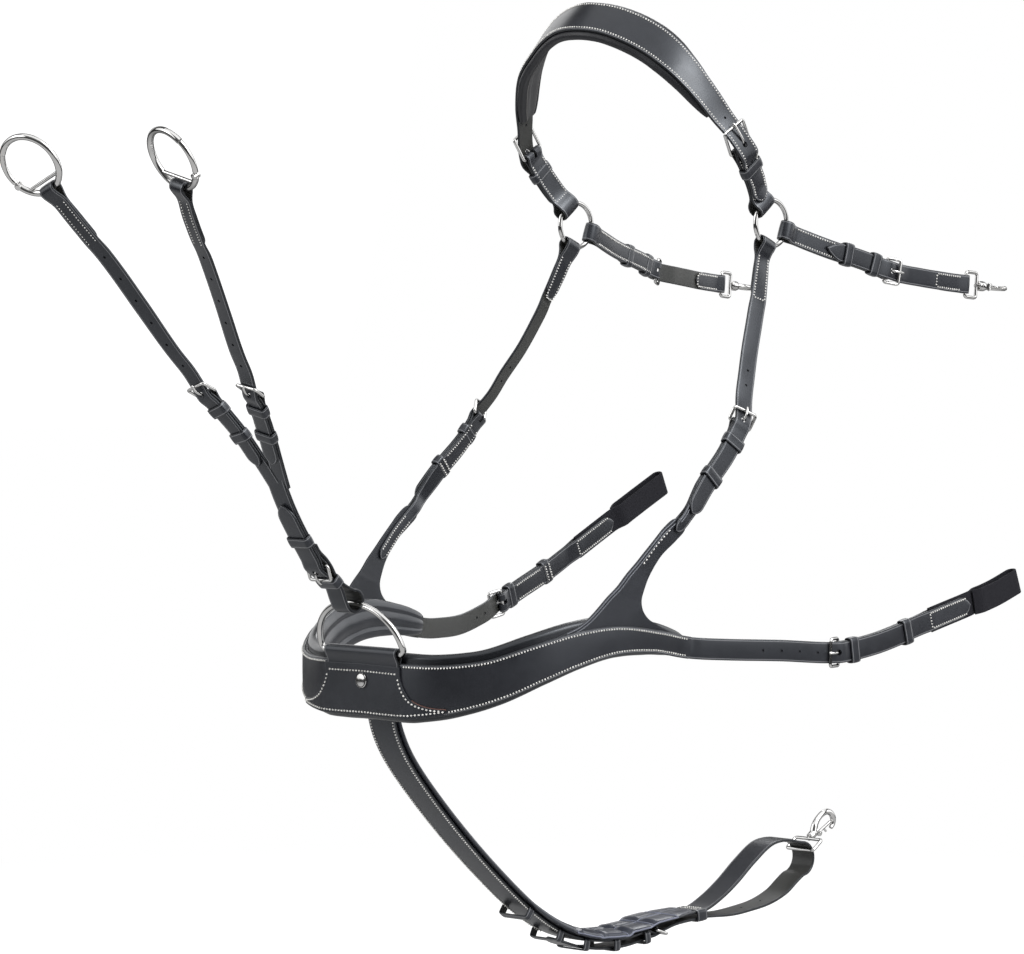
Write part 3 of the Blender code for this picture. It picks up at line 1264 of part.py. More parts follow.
def build_belly_pad(route, heel):
    """The lining behind the belly strap, which runs on into a quilted pad."""
    end = heel + BELLY_PAD_TAIL * MM
    quilt = [belly_at(route, y) for y in QUILT_ROWS]
    places = belly_stations(route, heel)
    tops = [(heel - 44 * MM, -PANEL_THICK / 2 - GAP), (heel - 40 * MM, -4.6 * MM)]
    tops += [(heel - 16 * MM, -4.6 * MM), (heel - 5 * MM, -7.5 * MM), (heel + 12 * MM, -7.9 * MM)]
    start = belly_at(route, -88.0)
    halves = [(start, BELLY_WIDTH / 2 + 3 * MM), (quilt[0], BELLY_WIDTH / 2 + 6 * MM)]
    halves += [(quilt[-1], BELLY_WIDTH / 2 + 6 * MM), (end, BELLY_LOOP_WIDTH / 2 + 3 * MM)]
    thicks = [(26 * MM, 4 * MM), (50 * MM, 6 * MM), (start, 6 * MM), (quilt[0], BELLY_PAD_THICK)]
    thicks += [(heel - 46 * MM, BELLY_PAD_THICK), (heel - 38 * MM, 5.5 * MM), (end, 3.0 * MM)]
    rows = []
    for s in places:
        width = widths_between(halves, s)
        top = widths_between(tops, s)
        thick = widths_between(thicks, s)
        on_channel = min(abs(s - c) for c in quilt) < 1 * MM
        quilted = s > quilt[0] - 10 * MM
        row = [(-width + 2 * MM, top), (width - 2 * MM, top)]
        for share in (1.0, 0.9, 0.6, 0.3, 0.06, -0.06, -0.3, -0.6, -0.9, -1.0):
            rise = 0.3 + 0.7 * (1 - abs(share) ** 3)
            if quilted and (on_channel or abs(share) < 0.1) and abs(share) < 0.95:
                rise -= 0.3
            row.append((width * share, top - thick * rise))
        rows.append(row)
    make_object("belly_pad", *lofted(route, 0.0, places, rows), "soft_leather", smooth=60)


def build_belly_loop(route, heel):
    """The loop strap: from the pad's end up round the snap's eye and back through the buckle."""
    half = BELLY_LOOP_WIDTH / 2
    keeper = belly_at(route, 151.0)
    tip = belly_at(route, -44.0)
    run = -6.2 * MM
    first = [(heel - 38 * MM, -3.0 * MM), (heel - 15 * MM, -3.0 * MM), (heel - 4 * MM, -5.8 * MM)]
    first += [(heel + 12 * MM, -5.8 * MM), (keeper - 8 * MM, run), (keeper + 8 * MM, run)]
    points = [route.place(s, n) for s, n in first]
    points += [mm(0, 182, -842), mm(0, 204, -829), mm(0, 229, -811), mm(0, 256, -795)]
    points += [mm(0, 281, -791)]
    centre = mm(*BELLY_TURN)
    for a in range(95, -86, -30):
        arm = Vector((0, cos(radians(a)), sin(radians(a)))) * BELLY_TURN_RADIUS * MM
        points.append(centre + arm)
    points += [mm(0, 292, -836), mm(0, 276, -846), mm(0, 252, -854), mm(0, 224, -858)]
    points += [mm(0, 196, -860)]
    back = [(keeper + 6 * MM, 0.3 * MM), (keeper - 8 * MM, 0.2 * MM)]
    drop = CROSS_LOOP_DROP - BILLET_THICK / 2 - GAP
    back += [(heel + d * MM, billet_level(heel + d * MM, heel, 1)) for d in (30, 13, 0)]
    back += [(heel - 9 * MM, OVER_LEVEL + 0.3 * MM), (heel - 24 * MM, drop - 0.6 * MM)]
    back += [(s, drop) for s in spaced(heel - 42 * MM, tip + half, 24 * MM)[:-1]]
    back += [(s, drop) for s in tip_stops(tip, -1, half)]
    points += [route.place(s, n) for s, n in back]
    halves = [half] * (len(points) - 3) + [half * share for share in (0.92, 0.66, 0.34)]
    loop = make_object("belly_loop_strap", *ribbon(points, Vector((1, 0, 0)), halves, BILLET_THICK / 2),
                       "black_leather")
    band = keeper_mesh(route, keeper, half + SIDE_PLAY, run - 0.5 * MM, 0.3 * MM + BILLET_THICK / 2 + GAP, 11 * MM)
    combine(loop, [band], "UNION")
    holes = [billet_hole(route, heel, 1)]
    for y, z in ((224, -858), (252, -854)):
        spot = mm(0, y, z)
        holes.append(tube_mesh([spot - Vector((0, 0, 8 * MM)), spot + Vector((0, 0, 8 * MM))],
                               SMALL_HOLE_RADIUS, 8))
    combine(loop, holes, "DIFFERENCE")
    lean = radians(BELLY_SNAP_LEAN)
    along = Vector((0, cos(lean), sin(lean)))
    out = Vector((0, sin(lean), -cos(lean)))
    seat = BELLY_TURN_RADIUS * MM - BILLET_THICK / 2 - SNAP_EYE_WIRE - GAP
    build_snap("belly_snap", centre + along * seat, along, out, Vector((1, 0, 0)), BELLY_LOOP_WIDTH,
               BELLY_EYE_DEPTH, BELLY_SNAP_SIZE)


clear_scene()
build_wither()
for side_name, side_sign in (("near", 1), ("far", -1)):
    build_shoulder(side_name, side_sign)
    build_girth(side_name, side_sign)
    build_saddle(side_name, side_sign)
build_collar()
build_chest_ring()
build_martingale()
build_belly()
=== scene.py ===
"""Dresses the hunting breastplate: sewn leather, padding, metalwork, floor, lights and camera.

Metres, +Z up. Every strap follows a Route, as its solid does. A place on a route is s (distance
along it), n (distance outwards) and b (distance across it).
"""

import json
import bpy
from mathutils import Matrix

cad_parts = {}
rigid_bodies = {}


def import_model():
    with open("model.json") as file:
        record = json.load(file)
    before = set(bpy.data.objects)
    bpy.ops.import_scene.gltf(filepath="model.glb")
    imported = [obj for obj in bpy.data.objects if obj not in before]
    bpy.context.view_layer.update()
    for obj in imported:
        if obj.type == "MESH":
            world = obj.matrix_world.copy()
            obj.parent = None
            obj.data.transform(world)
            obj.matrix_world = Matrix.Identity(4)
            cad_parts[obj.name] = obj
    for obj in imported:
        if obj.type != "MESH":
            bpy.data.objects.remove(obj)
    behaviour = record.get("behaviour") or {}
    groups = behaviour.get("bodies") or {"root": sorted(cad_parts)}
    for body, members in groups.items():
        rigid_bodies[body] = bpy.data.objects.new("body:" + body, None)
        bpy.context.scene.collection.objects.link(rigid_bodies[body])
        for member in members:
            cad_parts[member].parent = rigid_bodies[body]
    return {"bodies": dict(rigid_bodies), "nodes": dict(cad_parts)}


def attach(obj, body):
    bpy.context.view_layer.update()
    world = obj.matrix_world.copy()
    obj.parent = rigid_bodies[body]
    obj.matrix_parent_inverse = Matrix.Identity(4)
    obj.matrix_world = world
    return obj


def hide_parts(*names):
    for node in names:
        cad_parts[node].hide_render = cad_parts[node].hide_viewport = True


bl_info = {
    "name": "Hunting Breastplate",
    "version": (1, 0, 0),
    "blender": (4, 5, 0),
    "location": "View3D > Sidebar > Breastplate",
    "description": "Builds the sewn leather, padding and metalwork of a hunting breastplate",
    "category": "Object",
}

from bisect import bisect_right
from math import cos, pi, radians, sin, sqrt

import bmesh
import bpy
from bpy.props import FloatProperty, FloatVectorProperty, PointerProperty
from mathutils import Matrix, Vector, noise
from mathutils.geometry import delaunay_2d_cdt

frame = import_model()

MM = 0.001

# Leather and lining
LAYER = 1.9 * MM
BILLET_THICK = 2.6 * MM
PANEL_THICK = 2.6 * MM
GAP = 0.3 * MM
SIDE_PLAY = 0.6 * MM
KEEPER_WALL = 1.4 * MM
KEEPER_LENGTH = 10.5 * MM
MARK_SCALE = 0.1

# Strap widths
WITHER_WIDTH = 36 * MM
WITHER_BILLET_WIDTH = 22.5 * MM
SHOULDER_WIDTH = 18 * MM
GIRTH_WIDTH = 20 * MM
SADDLE_WIDTH = 18 * MM
ARM_WIDTH = 17 * MM
STEM_WIDTH = 22 * MM
BELLY_WIDTH = 36 * MM
BELLY_LOOP_WIDTH = 28 * MM

# Metalwork
BUCKLE_WIRE = 1.6 * MM
BUCKLE_DEPTH = 13 * MM
WITHER_BUCKLE_DEPTH = 22 * MM
TONGUE_WIRE = 1.2 * MM
HOLE_RADIUS = 2.9 * MM
SMALL_HOLE_RADIUS = 1.35 * MM
HOLE_WEB = 0.7 * MM
TIP_LIFT = 3.4 * MM
BILLET_BOW = 4.5 * MM
WITHER_RING_RADIUS = 22 * MM
WITHER_RING_WIRE = 2.3 * MM
REIN_RING_RADIUS = 28 * MM
REIN_RING_WIRE = 2.6 * MM
REIN_RING_LOOK = 3 * MM
REIN_BAR_WIRE = 1.7 * MM
CHEST_RING_HALF = 54 * MM
CHEST_RING_HEIGHT = 48 * MM
CHEST_RING_WIRE = 3 * MM
STEM_LOOP_BORE = 8.5 * MM
CHEST_RING_SAG = 1.2 * MM
STUD_RADIUS = 7 * MM
SNAP_WIRE = 2.4 * MM
SNAP_GATE_WIRE = 1.5 * MM
SNAP_BARREL = 4.9 * MM
SNAP_PIN = 1.5 * MM
SNAP_EYE_WIRE = 1.7 * MM
SNAP_EYE_DEPTH = 15 * MM

# Padding and elastic
WITHER_PAD_THICK = 10 * MM
WITHER_PAD_EDGE = 5 * MM
COLLAR_PAD_THICK = 13 * MM
COLLAR_PAD_EDGE = 6.5 * MM
BELLY_PAD_THICK = 8.5 * MM
ELASTIC_THICK = 2.4 * MM
ELASTIC_OPEN = 7 * MM
ELASTIC_WIDTH = 24 * MM

STACK_HALF = LAYER
FOLD_BORE = BUCKLE_WIRE + 0.45 * MM
FOLD_OUTER = FOLD_BORE + LAYER
LAP_LEVEL = STACK_HALF + GAP + BILLET_THICK / 2
OVER_LEVEL = FOLD_OUTER + GAP + BILLET_THICK / 2
FRONT_LEVEL = 2.4 * MM
FRONT_BAR_LEVEL = FRONT_LEVEL + BILLET_THICK / 2 + GAP + BUCKLE_WIRE + 0.3 * MM
FOLD_CLEAR = 9 * MM
TONGUE_AT = 3.7 * MM
HOLE_REACH = 8 * MM
SEAM_INSET = 2.6 * MM
THREAD_LIFT = 0.1 * MM
WITHER_HEEL = 66 * MM
TUG_SHARE = 0.68

# Where the routes run, in millimetres, with their outward directions
WITHER_RING_CENTRE = (129, 122, -184)
CHAPE_ANGLE = 128.0
SHOULDER_ANGLE = -113.0
SADDLE_ANGLE = -20.0


def on_wither_ring(angle, extra=0):
    """A point on the near wither ring's wire, at an angle from straight back towards up."""
    x, y, z = WITHER_RING_CENTRE
    reach = WITHER_RING_RADIUS / MM + extra
    return (x, y + reach * cos(radians(angle)), z + reach * sin(radians(angle)))


CREST_TILT = 42.0
CREST_SHIFT = 4.3
CREST_OUT = (0, -cos(radians(CREST_TILT)), sin(radians(CREST_TILT)))
CREST_LIFT = (WITHER_PAD_THICK + GAP + PANEL_THICK / 2) / MM
NEAR_WITHER = [
    (0, CREST_OUT[1] * CREST_LIFT + CREST_OUT[2] * CREST_SHIFT,
     CREST_OUT[2] * CREST_LIFT - CREST_OUT[1] * CREST_SHIFT),
    (36, 1.7, 5.9), (73.5, 14.3, -11.5), (101.5, 25.3, -35.5),
    (121.7, 41.6, -66.5), (134.5, 59.9, -98.3),
    (137.6, 73.1, -120), (134.7, 91.1, -143.4),
    on_wither_ring(CHAPE_ANGLE, 7), on_wither_ring(CHAPE_ANGLE),
]
NEAR_WITHER_OUT = [
    CREST_OUT, (0.25, -0.7, 0.67), (0.4, -0.66, 0.64), (0.8, -0.42, 0.43), (0.88, -0.3, 0.37),
    (0.95, -0.18, 0.22), (0.98, -0.12, 0.05), (1, 0, 0), (1, 0, 0), (1, 0, 0),
]
SHOULDER = [
    on_wither_ring(SHOULDER_ANGLE), on_wither_ring(SHOULDER_ANGLE, 8),
    (140, 90, -261), (150, 69, -303),
    (161, 51, -334), (171, 33, -368),
    (174.5, 10, -397), (177, -22, -426),
]
SHOULDER_OUT = [(1, 0, 0)] * 2
SHOULDER_OUT += [(0.96, -0.22, 0.15), (0.95, -0.27, 0.15), (0.95, -0.30, 0.12), (0.95, -0.30, 0.10)]
SHOULDER_OUT += [(0.97, -0.24, 0.05), (0.98, -0.18, 0)]
COLLAR_FRONT = (0, -285, -608)
NEAR_COLLAR = [
    (30, -285, -608.5), (57, -284, -608.5), (92, -270, -605.5),
    (125, -245, -597), (149, -210, -582), (164, -173, -570),
    (172, -133, -564), (177, -89, -567), (179, -45, -575),
    (190, -10, -578),
]
COLLAR_OUT = [(0, -1, 0), (0.14, -0.99, 0), (0.5, -0.87, 0), (0.72, -0.69, 0)]
COLLAR_OUT += [(0.87, -0.5, 0), (0.95, -0.32, 0), (0.985, -0.17, 0), (0.995, -0.1, 0)]
COLLAR_OUT += [(0.99, -0.12, 0), (0.96, -0.28, 0)]
COLLAR_HALVES = [25.5, 25.5, 25, 22.5, 19.5, 17.5, 15.6, 13.2, 10.6, 10.2, 10]
COLLAR_END = 8
GIRTH_START = 4
GIRTH_POINTS = {
    "near": [
        (209, 46, -581), (224, 106, -585), (230, 150, -580),
        (233, 195, -570), (235, 239, -559), (236.5, 282, -549),
        (237, 321, -540), (237, 358, -528),
    ],
    "far": [
        (-209, 46, -577), (-222, 109, -561), (-226, 146, -547),
        (-229, 182, -533), (-232, 225, -513), (-234, 267, -493),
        (-236, 319, -468), (-237, 363, -447),
    ],
}
GIRTH_OUT = [(0.95, -0.3, 0)] * 2 + [(0.98, -0.2, 0)] + [(1, -0.1, 0)] * 5
SADDLE = [
    on_wither_ring(SADDLE_ANGLE), on_wither_ring(SADDLE_ANGLE, 9),
    (139, 192, -208), (146, 234, -219),
    (152, 266, -229), (157, 314, -236),
    (160, 348, -240), (162, 370, -242),
]
SADDLE_OUT = [(1, 0, 0)] * 2 + [(1, -0.12, 0)] * 6
CHEST_BAR = (0, -287, -575)
CHEST_RING_TILT = 20.0
STEM_OUT = (0, -0.8, -0.6)
CHEST_RING_UP = (0, -sin(radians(CHEST_RING_TILT)), cos(radians(CHEST_RING_TILT)))
STEM = [
    tuple(a + b * CHEST_RING_HEIGHT / MM for a, b in zip(CHEST_BAR, CHEST_RING_UP)),
    (0, -318, -519),
    (0, -344, -494),
    (0, -367, -463),
    (0, -383, -437),
    (0, -398, -406),
]
ARMS = {
    "near": [
        (4.1, -388.8, -422.9), (11.3, -403.7, -400), (22.5, -424.4, -370.8),
        (35.3, -450.6, -337.5), (45.5, -479.5, -302), (57.6, -507.4, -261.8),
        (69.8, -535.2, -223.9), (81.2, -563.8, -187.4), (88.6, -581.4, -158.8),
    ],
    "far": [
        (-2.1, -389.1, -424), (-7.6, -404.6, -399.6), (-15, -424, -370.8),
        (-27.5, -449.5, -338.6), (-40.1, -477.1, -303), (-51.7, -504.7, -262.3),
        (-62.5, -531.5, -223.6), (-74.8, -559.8, -186.9), (-85.9, -579.9, -159.1),
    ],
}
ARM_OUT = {
    "near": [(-0.02, -0.8, -0.6)] * 5 + [(-0.08, -0.78, -0.55)] * 3 + [(-0.13, -0.75, -0.53)],
    "far": [(0.02, -0.8, -0.6)] * 3 + [(0.14, -0.8, -0.55)] * 2 + [(0.26, -0.78, -0.5)] * 4,
}
BELLY = [
    (0, -266.4, -604), (0, -265.6, -627), (0, -259, -652),
    (0, -244, -678), (0, -213, -714), (0, -170, -757),
    (0, -125, -797), (0, -83, -830), (0, -46, -852),
    (0, -10, -864), (0, 30, -868), (0, 74, -865),
    (0, 122, -861), (0, 151, -858.5), (0, 176, -857),
]
BELLY_OUT = [(0, -1, -0.05), (0, -1, -0.1), (0, -0.9, -0.4), (0, -0.82, -0.57)]
BELLY_OUT += [(0, -0.75, -0.66), (0, -0.7, -0.7), (0, -0.66, -0.76), (0, -0.5, -0.86)]
BELLY_OUT += [(0, -0.3, -0.95), (0, -0.12, -1), (0, 0, -1), (0, 0.1, -1), (0, 0.1, -1)]
BELLY_OUT += [(0, 0.08, -1)] * 2
BELLY_TURN = (0, 300, -814)
BELLY_TURN_RADIUS = 16.5
BELLY_SNAP_LEAN = 35.0
BELLY_EYE_DEPTH = 16.5 * MM
BELLY_SNAP_SIZE = 1.25
BELLY_SNAP_BARREL = 4.2 * MM
BELLY_KEEPER = 151
BELLY_LOOP_OUT = [(182, -842), (204, -829), (229, -811), (255, -796), (279, -793.5)]
BELLY_LOOP_BACK = [(292, -836), (276, -846), (252, -854), (224, -858), (196, -860)]
QUILT_DIP = 0.42
QUILT_CORD = 0.8 * MM
CROSS_LOOP_DROP = 9.4 * MM
BELLY_PAD_TAIL = 50.0
CROSS_LOOPS = (-87, -47, -12, 29, 71)
QUILT_ROWS = (-31, 4, 39, 74, 109)
SIDES = (("near", 1), ("far", -1))
GIRTH_HOLES = {"near": (25, 45, 65, 85), "far": (33, 48)}
PATCH_SHIFT = {"near": 0, "far": 14 * MM}


def mm(*values):
    return Vector([v * MM for v in values])


def mirrored(points):
    """The same points on the horse's other side."""
    return [(-x, y, z) for x, y, z in points]


def two_sided(near, centre=None):
    """A line from the far side to the near side, through the middle."""
    near = list(near)
    middle = [centre] if centre else []
    return mirrored(reversed(near)) + middle + near


def sided(near, side):
    """The near side's points, or their mirror image for the far side."""
    return list(near) if side > 0 else mirrored(near)


def spaced(start, end, step=8 * MM):
    """Stations from start to end at about this spacing."""
    count = max(1, round(abs(end - start) / step))
    return [start + (end - start) * k / count for k in range(count + 1)]


def widths_between(stops, distance):
    """A size read off a list of (distance, size), level beyond either end."""
    if distance <= stops[0][0]:
        return stops[0][1]
    for (d1, w1), (d2, w2) in zip(stops, stops[1:]):
        if distance <= d2:
            return w1 + (w2 - w1) * (distance - d1) / (d2 - d1)
    return stops[-1][1]


def curve(stops, step, closed=False, least=1):
    """A smooth line through stops, as (number of the last stop passed, share of the way on, point)."""
    count = len(stops)
    made = []
    for i in range(count if closed else count - 1):
        p1, p2 = stops[i], stops[(i + 1) % count]
        p0 = stops[i - 1] if closed or i > 0 else p1 * 2 - p2
        p3 = stops[(i + 2) % count] if closed or i < count - 2 else p2 * 2 - p1
        span = max((p2 - p1).length, 1e-7)
        m1 = (p2 - p0) * (span / (span + (p1 - p0).length))
        m2 = (p3 - p1) * (span / (span + (p3 - p2).length))
        pieces = max(least, round(span / step))
        for k in range(pieces):
            t = k / pieces
            point = p1 * (2 * t**3 - 3 * t**2 + 1) + m1 * (t**3 - 2 * t**2 + t)
            made.append((i, t, point + p2 * (3 * t**2 - 2 * t**3) + m2 * (t**3 - t**2)))
    if not closed:
        made.append((count - 1, 0.0, stops[-1]))
    return made


def through(stops, step, closed=False):
    """Points along a smooth line through stops, about step apart. Stops are points of any size."""
    return [point for _, _, point in curve([Vector(stop) for stop in stops], step, closed)]


def lengths(points):
    """How far along a line each of its points lies."""
    gone = [0.0]
    for a, b in zip(points, points[1:]):
        gone.append(gone[-1] + (b - a).length)
    return gone


class Route:
    """A smooth line through points in millimetres, with an outward direction at each."""

    STEP = 2 * MM

    def __init__(self, points, outward):
        hints = [Vector(v).normalized() for v in outward]
        line = curve([mm(*p) for p in points], self.STEP, least=2)
        self.points = [point for _, _, point in line]
        self.hints = [hints[i].lerp(hints[min(i + 1, len(hints) - 1)], t) for i, t, _ in line]
        self.knots = [n for n, (_, t, _) in enumerate(line) if t == 0]
        self.along = lengths(self.points)
        self.length = self.along[-1]

    def knot(self, index):
        """How far along the line its given point number index lies."""
        return self.along[self.knots[index]]

    def read(self, values, s):
        i = min(max(bisect_right(self.along, s) - 1, 0), len(values) - 2)
        t = (s - self.along[i]) / (self.along[i + 1] - self.along[i])
        return values[i] + (values[i + 1] - values[i]) * t

    def axes(self, s):
        """Directions along the strap, outwards from it and across it."""
        reach = 1.5 * self.STEP
        near = min(max(s, 0.0), self.length)
        ahead = self.read(self.points, min(near + reach, self.length))
        along = (ahead - self.read(self.points, max(near - reach, 0.0))).normalized()
        out = self.read(self.hints, near)
        out = (out - along * out.dot(along)).normalized()
        return along, out, out.cross(along)

    def place(self, s, n=0.0, b=0.0):
        along, out, across = self.axes(s)
        near = min(max(s, 0.0), self.length)
        return self.read(self.points, near) + along * (s - near) + out * n + across * b


class Shape:
    """Points, faces and strap marks on their way to one mesh.

    A mark is (distance from the nearest long edge, distance along). The first is negative on the
    flesh side, so that a material can tell the two sides of a strap apart.
    """

    def __init__(self):
        self.points = []
        self.faces = []
        self.marks = []

    def add(self, points, faces, marks=None):
        start = len(self.points)
        self.points.extend(points)
        self.faces.extend(tuple(i + start for i in face) for face in faces)
        self.marks.extend(marks or [(9 * MM, 0.0)] * len(points))

    def rows(self, rows, marks=None, closed=False):
        """A skin through rows of points, each row running once round."""
        size = len(rows[0])
        faces = []
        for i in range(len(rows) if closed else len(rows) - 1):
            j = (i + 1) % len(rows)
            for k in range(size):
                m = (k + 1) % size
                faces.append((i * size + k, i * size + m, j * size + m, j * size + k))
        if not closed:
            faces.append(tuple(reversed(range(size))))
            faces.append(tuple(range((len(rows) - 1) * size, len(rows) * size)))
        flat_marks = [m for row in marks for m in row] if marks else None
        self.add([p for row in rows for p in row], faces, flat_marks)


def to_mesh(name, shape):
    """A mesh with outward faces and the marks as its UV map."""
    mesh = bpy.data.meshes.new(name)
    mesh.from_pydata([tuple(p) for p in shape.points], [], shape.faces)
    form = bmesh.new()
    form.from_mesh(mesh)
    layer = form.loops.layers.uv.new("strap")
    for face in form.faces:
        for loop in face.loops:
            edge, along = shape.marks[loop.vert.index]
            loop[layer].uv = (edge / MARK_SCALE, along / MARK_SCALE)
    bmesh.ops.recalc_face_normals(form, faces=form.faces)
    form.to_mesh(mesh)
    form.free()
    return mesh


def baked(obj):
    """Makes what an object's modifiers show into its own mesh."""
    seen = obj.evaluated_get(bpy.context.evaluated_depsgraph_get())
    made = bpy.data.meshes.new_from_object(seen)
    obj.modifiers.clear()
    obj.data = made


def added(name, data):
    """A new object in the scene."""
    obj = bpy.data.objects.new(name, data)
    bpy.context.scene.collection.objects.link(obj)
    return obj


def linked(name, shape, material):
    obj = added(name, to_mesh(name, shape))
    obj.data.materials.append(material)
    return obj


def punched(obj, cutters, material):
    """Cuts holes through an object and keeps only the cut mesh."""
    helper = linked(f"{obj.name}_punch", cutters, material)
    cut = obj.modifiers.new("Punched holes", "BOOLEAN")
    cut.operation = "DIFFERENCE"
    cut.object = helper
    cut.solver = "EXACT"
    baked(obj)
    bpy.data.objects.remove(helper)


def piece(name, shape, material, body="breastplate", nodes=(), slot="black_leather", sharp=50, cutters=None,
          bevel=0.0, extra=None):
    """One finished piece of the breastplate, riding on its body in place of its solids.

    cutters cut shape alone. extra joins it afterwards.
    """
    obj = linked(name, shape, material)
    if bevel:
        rounding = obj.modifiers.new("Rounded edges", "BEVEL")
        rounding.width = bevel
        rounding.segments = 2
        rounding.angle_limit = radians(45)
        baked(obj)
    if cutters:
        punched(obj, cutters, material)
    if extra:
        form = bmesh.new()
        form.from_mesh(obj.data)
        form.from_mesh(to_mesh(f"{name}_extra", extra))
        form.to_mesh(obj.data)
        form.free()
    obj.data.shade_smooth()
    obj.data.set_sharp_from_angle(angle=radians(sharp))
    weighted = obj.modifiers.new("Even shading", "WEIGHTED_NORMAL")
    weighted.keep_sharp = True
    baked(obj)
    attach(obj, body)
    if nodes:
        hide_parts(*nodes)
    return obj


def leather_piece(node, shape, body="breastplate", **finish):
    """A leather piece in place of the solid of its name."""
    piece(f"{node}_skin", shape, leather("bridle_leather"), body, [node], **finish)


def metal_piece(node, shape, body=None, sharp=50):
    """A metal piece in place of the solid of its name. It rides on the body of its name unless told."""
    piece(f"{node}_metal", shape, polished_nickel(), body or node, [node], "nickel", sharp)


def padded_piece(name, shape, material, node):
    piece(name, shape, material, "breastplate", [node], "soft_leather", 70)


def stitching(name, shape, body="breastplate"):
    piece(name, shape, thread(), body, sharp=80)


def strap_section(half, thick, crown):
    """A strap's section as (across, out) with bevelled edges, and each point's distance from the edge."""
    r = min(0.62 * thick, 0.45 * half)
    c = 0.3 * r
    upper = [(-half + r, thick), (-half / 2, thick + crown), (0.0, thick + crown * 1.3)]
    upper += [(half / 2, thick + crown), (half - r, thick)]
    wall = [(half - c, thick - c), (half, thick - r), (half, r - thick), (half - c, c - thick)]
    lower = [(half - r, -thick), (0.0, -thick), (r - half, -thick)]
    other = [(c - half, c - thick), (-half, r - thick), (-half, thick - r), (c - half, thick - c)]
    row = upper + wall + lower + other
    marks = [half - abs(x) for x, _ in upper] + [0.0] * 4 + [abs(x) - half for x, _ in lower] + [0.0] * 4
    return row, marks


def ply(shape, centres, acrosses, halves, thicks, closed=False, crown=0.0):
    """A strap of leather along centres. halves and thicks are half its width and half its thickness."""
    count = len(centres)
    rows, marks = [], []
    distance = 0.0
    for i, centre in enumerate(centres):
        ahead = centres[(i + 1) % count] if closed or i < count - 1 else centre
        behind = centres[i - 1] if closed or i > 0 else centre
        along = (ahead - behind).normalized()
        across = (acrosses[i] - along * acrosses[i].dot(along)).normalized()
        out = along.cross(across)
        if i > 0:
            distance += (centre - centres[i - 1]).length
        section, edges = strap_section(halves[i], thicks[i], crown)
        rows.append([centre + across * x + out * y for x, y in section])
        marks.append([(edge, distance) for edge in edges])
    shape.rows(rows, marks, closed)


def with_tip(line, at_end):
    """Extra points where a line's last (or first) few millimetres narrow to a rounded tip."""
    points = list(line) if at_end else list(reversed(line))
    kept, gone = list(points), 0.0
    while gone < 12 * MM and len(kept) > 2:
        gone += (Vector(kept[-1][:2]) - Vector(kept[-2][:2])).length
        kept.pop()
    start, finish = kept[-1], points[-1]
    total = (Vector(finish[:2]) - Vector(start[:2])).length
    for left in (11.0, 9.0, 7.0, 5.0, 3.4, 2.2, 1.3, 0.6, 0.2, 0.0):
        share = 1 - left * MM / total
        if share > 0:
            kept.append(start.lerp(finish, share))
    return kept if at_end else list(reversed(kept))


def tip_share(distance, half, pointed=False, blunt=0.14):
    """How wide a tip is, as a share of the strap, at a distance from its end."""
    reach = (1.9 if pointed else 1.3) * half
    if distance >= reach:
        return 1.0
    left = 1 - max(distance, 0.0) / reach
    return max((1 - left**1.35) ** 0.8 if pointed else (1 - left**1.8) ** 0.62, blunt)


def size_at(size, s):
    return size(s) if callable(size) else size


def run(shape, route, stops, half, tips=(False, False), closed=False, crown=0.2 * MM, step=2.6 * MM,
        pointed=False):
    """A ply along a route through stops of (s, n, half thickness). half is a size or a function of s."""
    line = through(stops, step, closed)
    for at_end in (False, True):
        if tips[at_end]:
            line = with_tip(line, at_end)
    gone = lengths([Vector(point[:2]) for point in line])
    halves = []
    for (s, _, _), distance in zip(line, gone):
        width = size_at(half, s)
        if tips[0]:
            width *= tip_share(distance, width, pointed)
        if tips[1]:
            width *= tip_share(gone[-1] - distance, width)
        halves.append(width)
    centres = [route.place(s, n) for s, n, _ in line]
    acrosses = [route.axes(s)[2] for s, _, _ in line]
    ply(shape, centres, acrosses, halves, [thick for _, _, thick in line], closed, crown)


def fold_stops(s, side, bore, turn=118, pieces=8):
    """A ply's middle line round a bar at s, from its underside to its upper side."""
    radius = bore + LAYER / 2
    angles = [radians(turn * (2 * k / pieces - 1)) for k in range(pieces + 1)]
    return [(s + side * radius * cos(a), radius * sin(a), LAYER / 2) for a in angles]


def level_stops(start, end, n, step=14 * MM, thick=LAYER / 2):
    return [(s, n, thick) for s in spaced(start, end, step)]


def chape_loop(low, low_bore, high, high_bore):
    """A strap doubled back round a bar at both its ends, as one closed line."""
    near = low + FOLD_CLEAR + (low_bore - FOLD_BORE)
    far = high - FOLD_CLEAR - (high_bore - FOLD_BORE)
    stops = level_stops(near, far, LAYER / 2)
    stops += reversed(fold_stops(high, 1, high_bore))
    stops += level_stops(far, near, -LAYER / 2)
    return stops + fold_stops(low, -1, low_bore)


def folded(under, heel, over):
    """Stops of a strap from under, round the buckle's bar at heel and back on top of itself to over."""
    stops = level_stops(under, heel + FOLD_CLEAR, -LAYER / 2) + fold_stops(heel, -1, FOLD_BORE)
    return stops + level_stops(heel + FOLD_CLEAR, over, LAYER / 2)


def billet_level(s, heel, side, depth=BUCKLE_DEPTH, bow=0.0):
    """How high a billet's middle lies: under the front bar, over the heel bar, then on the chape."""
    stops = [
        (-24 * MM, LAP_LEVEL),
        (-17 * MM, LAP_LEVEL + 0.15 * MM),
        (-8 * MM, LAP_LEVEL + 0.4 * MM + bow),
        (0.0, OVER_LEVEL + 0.4 * bow),
        (depth, FRONT_LEVEL),
        (depth + 15 * MM, 0.0),
    ]
    return widths_between(stops, side * (s - heel))


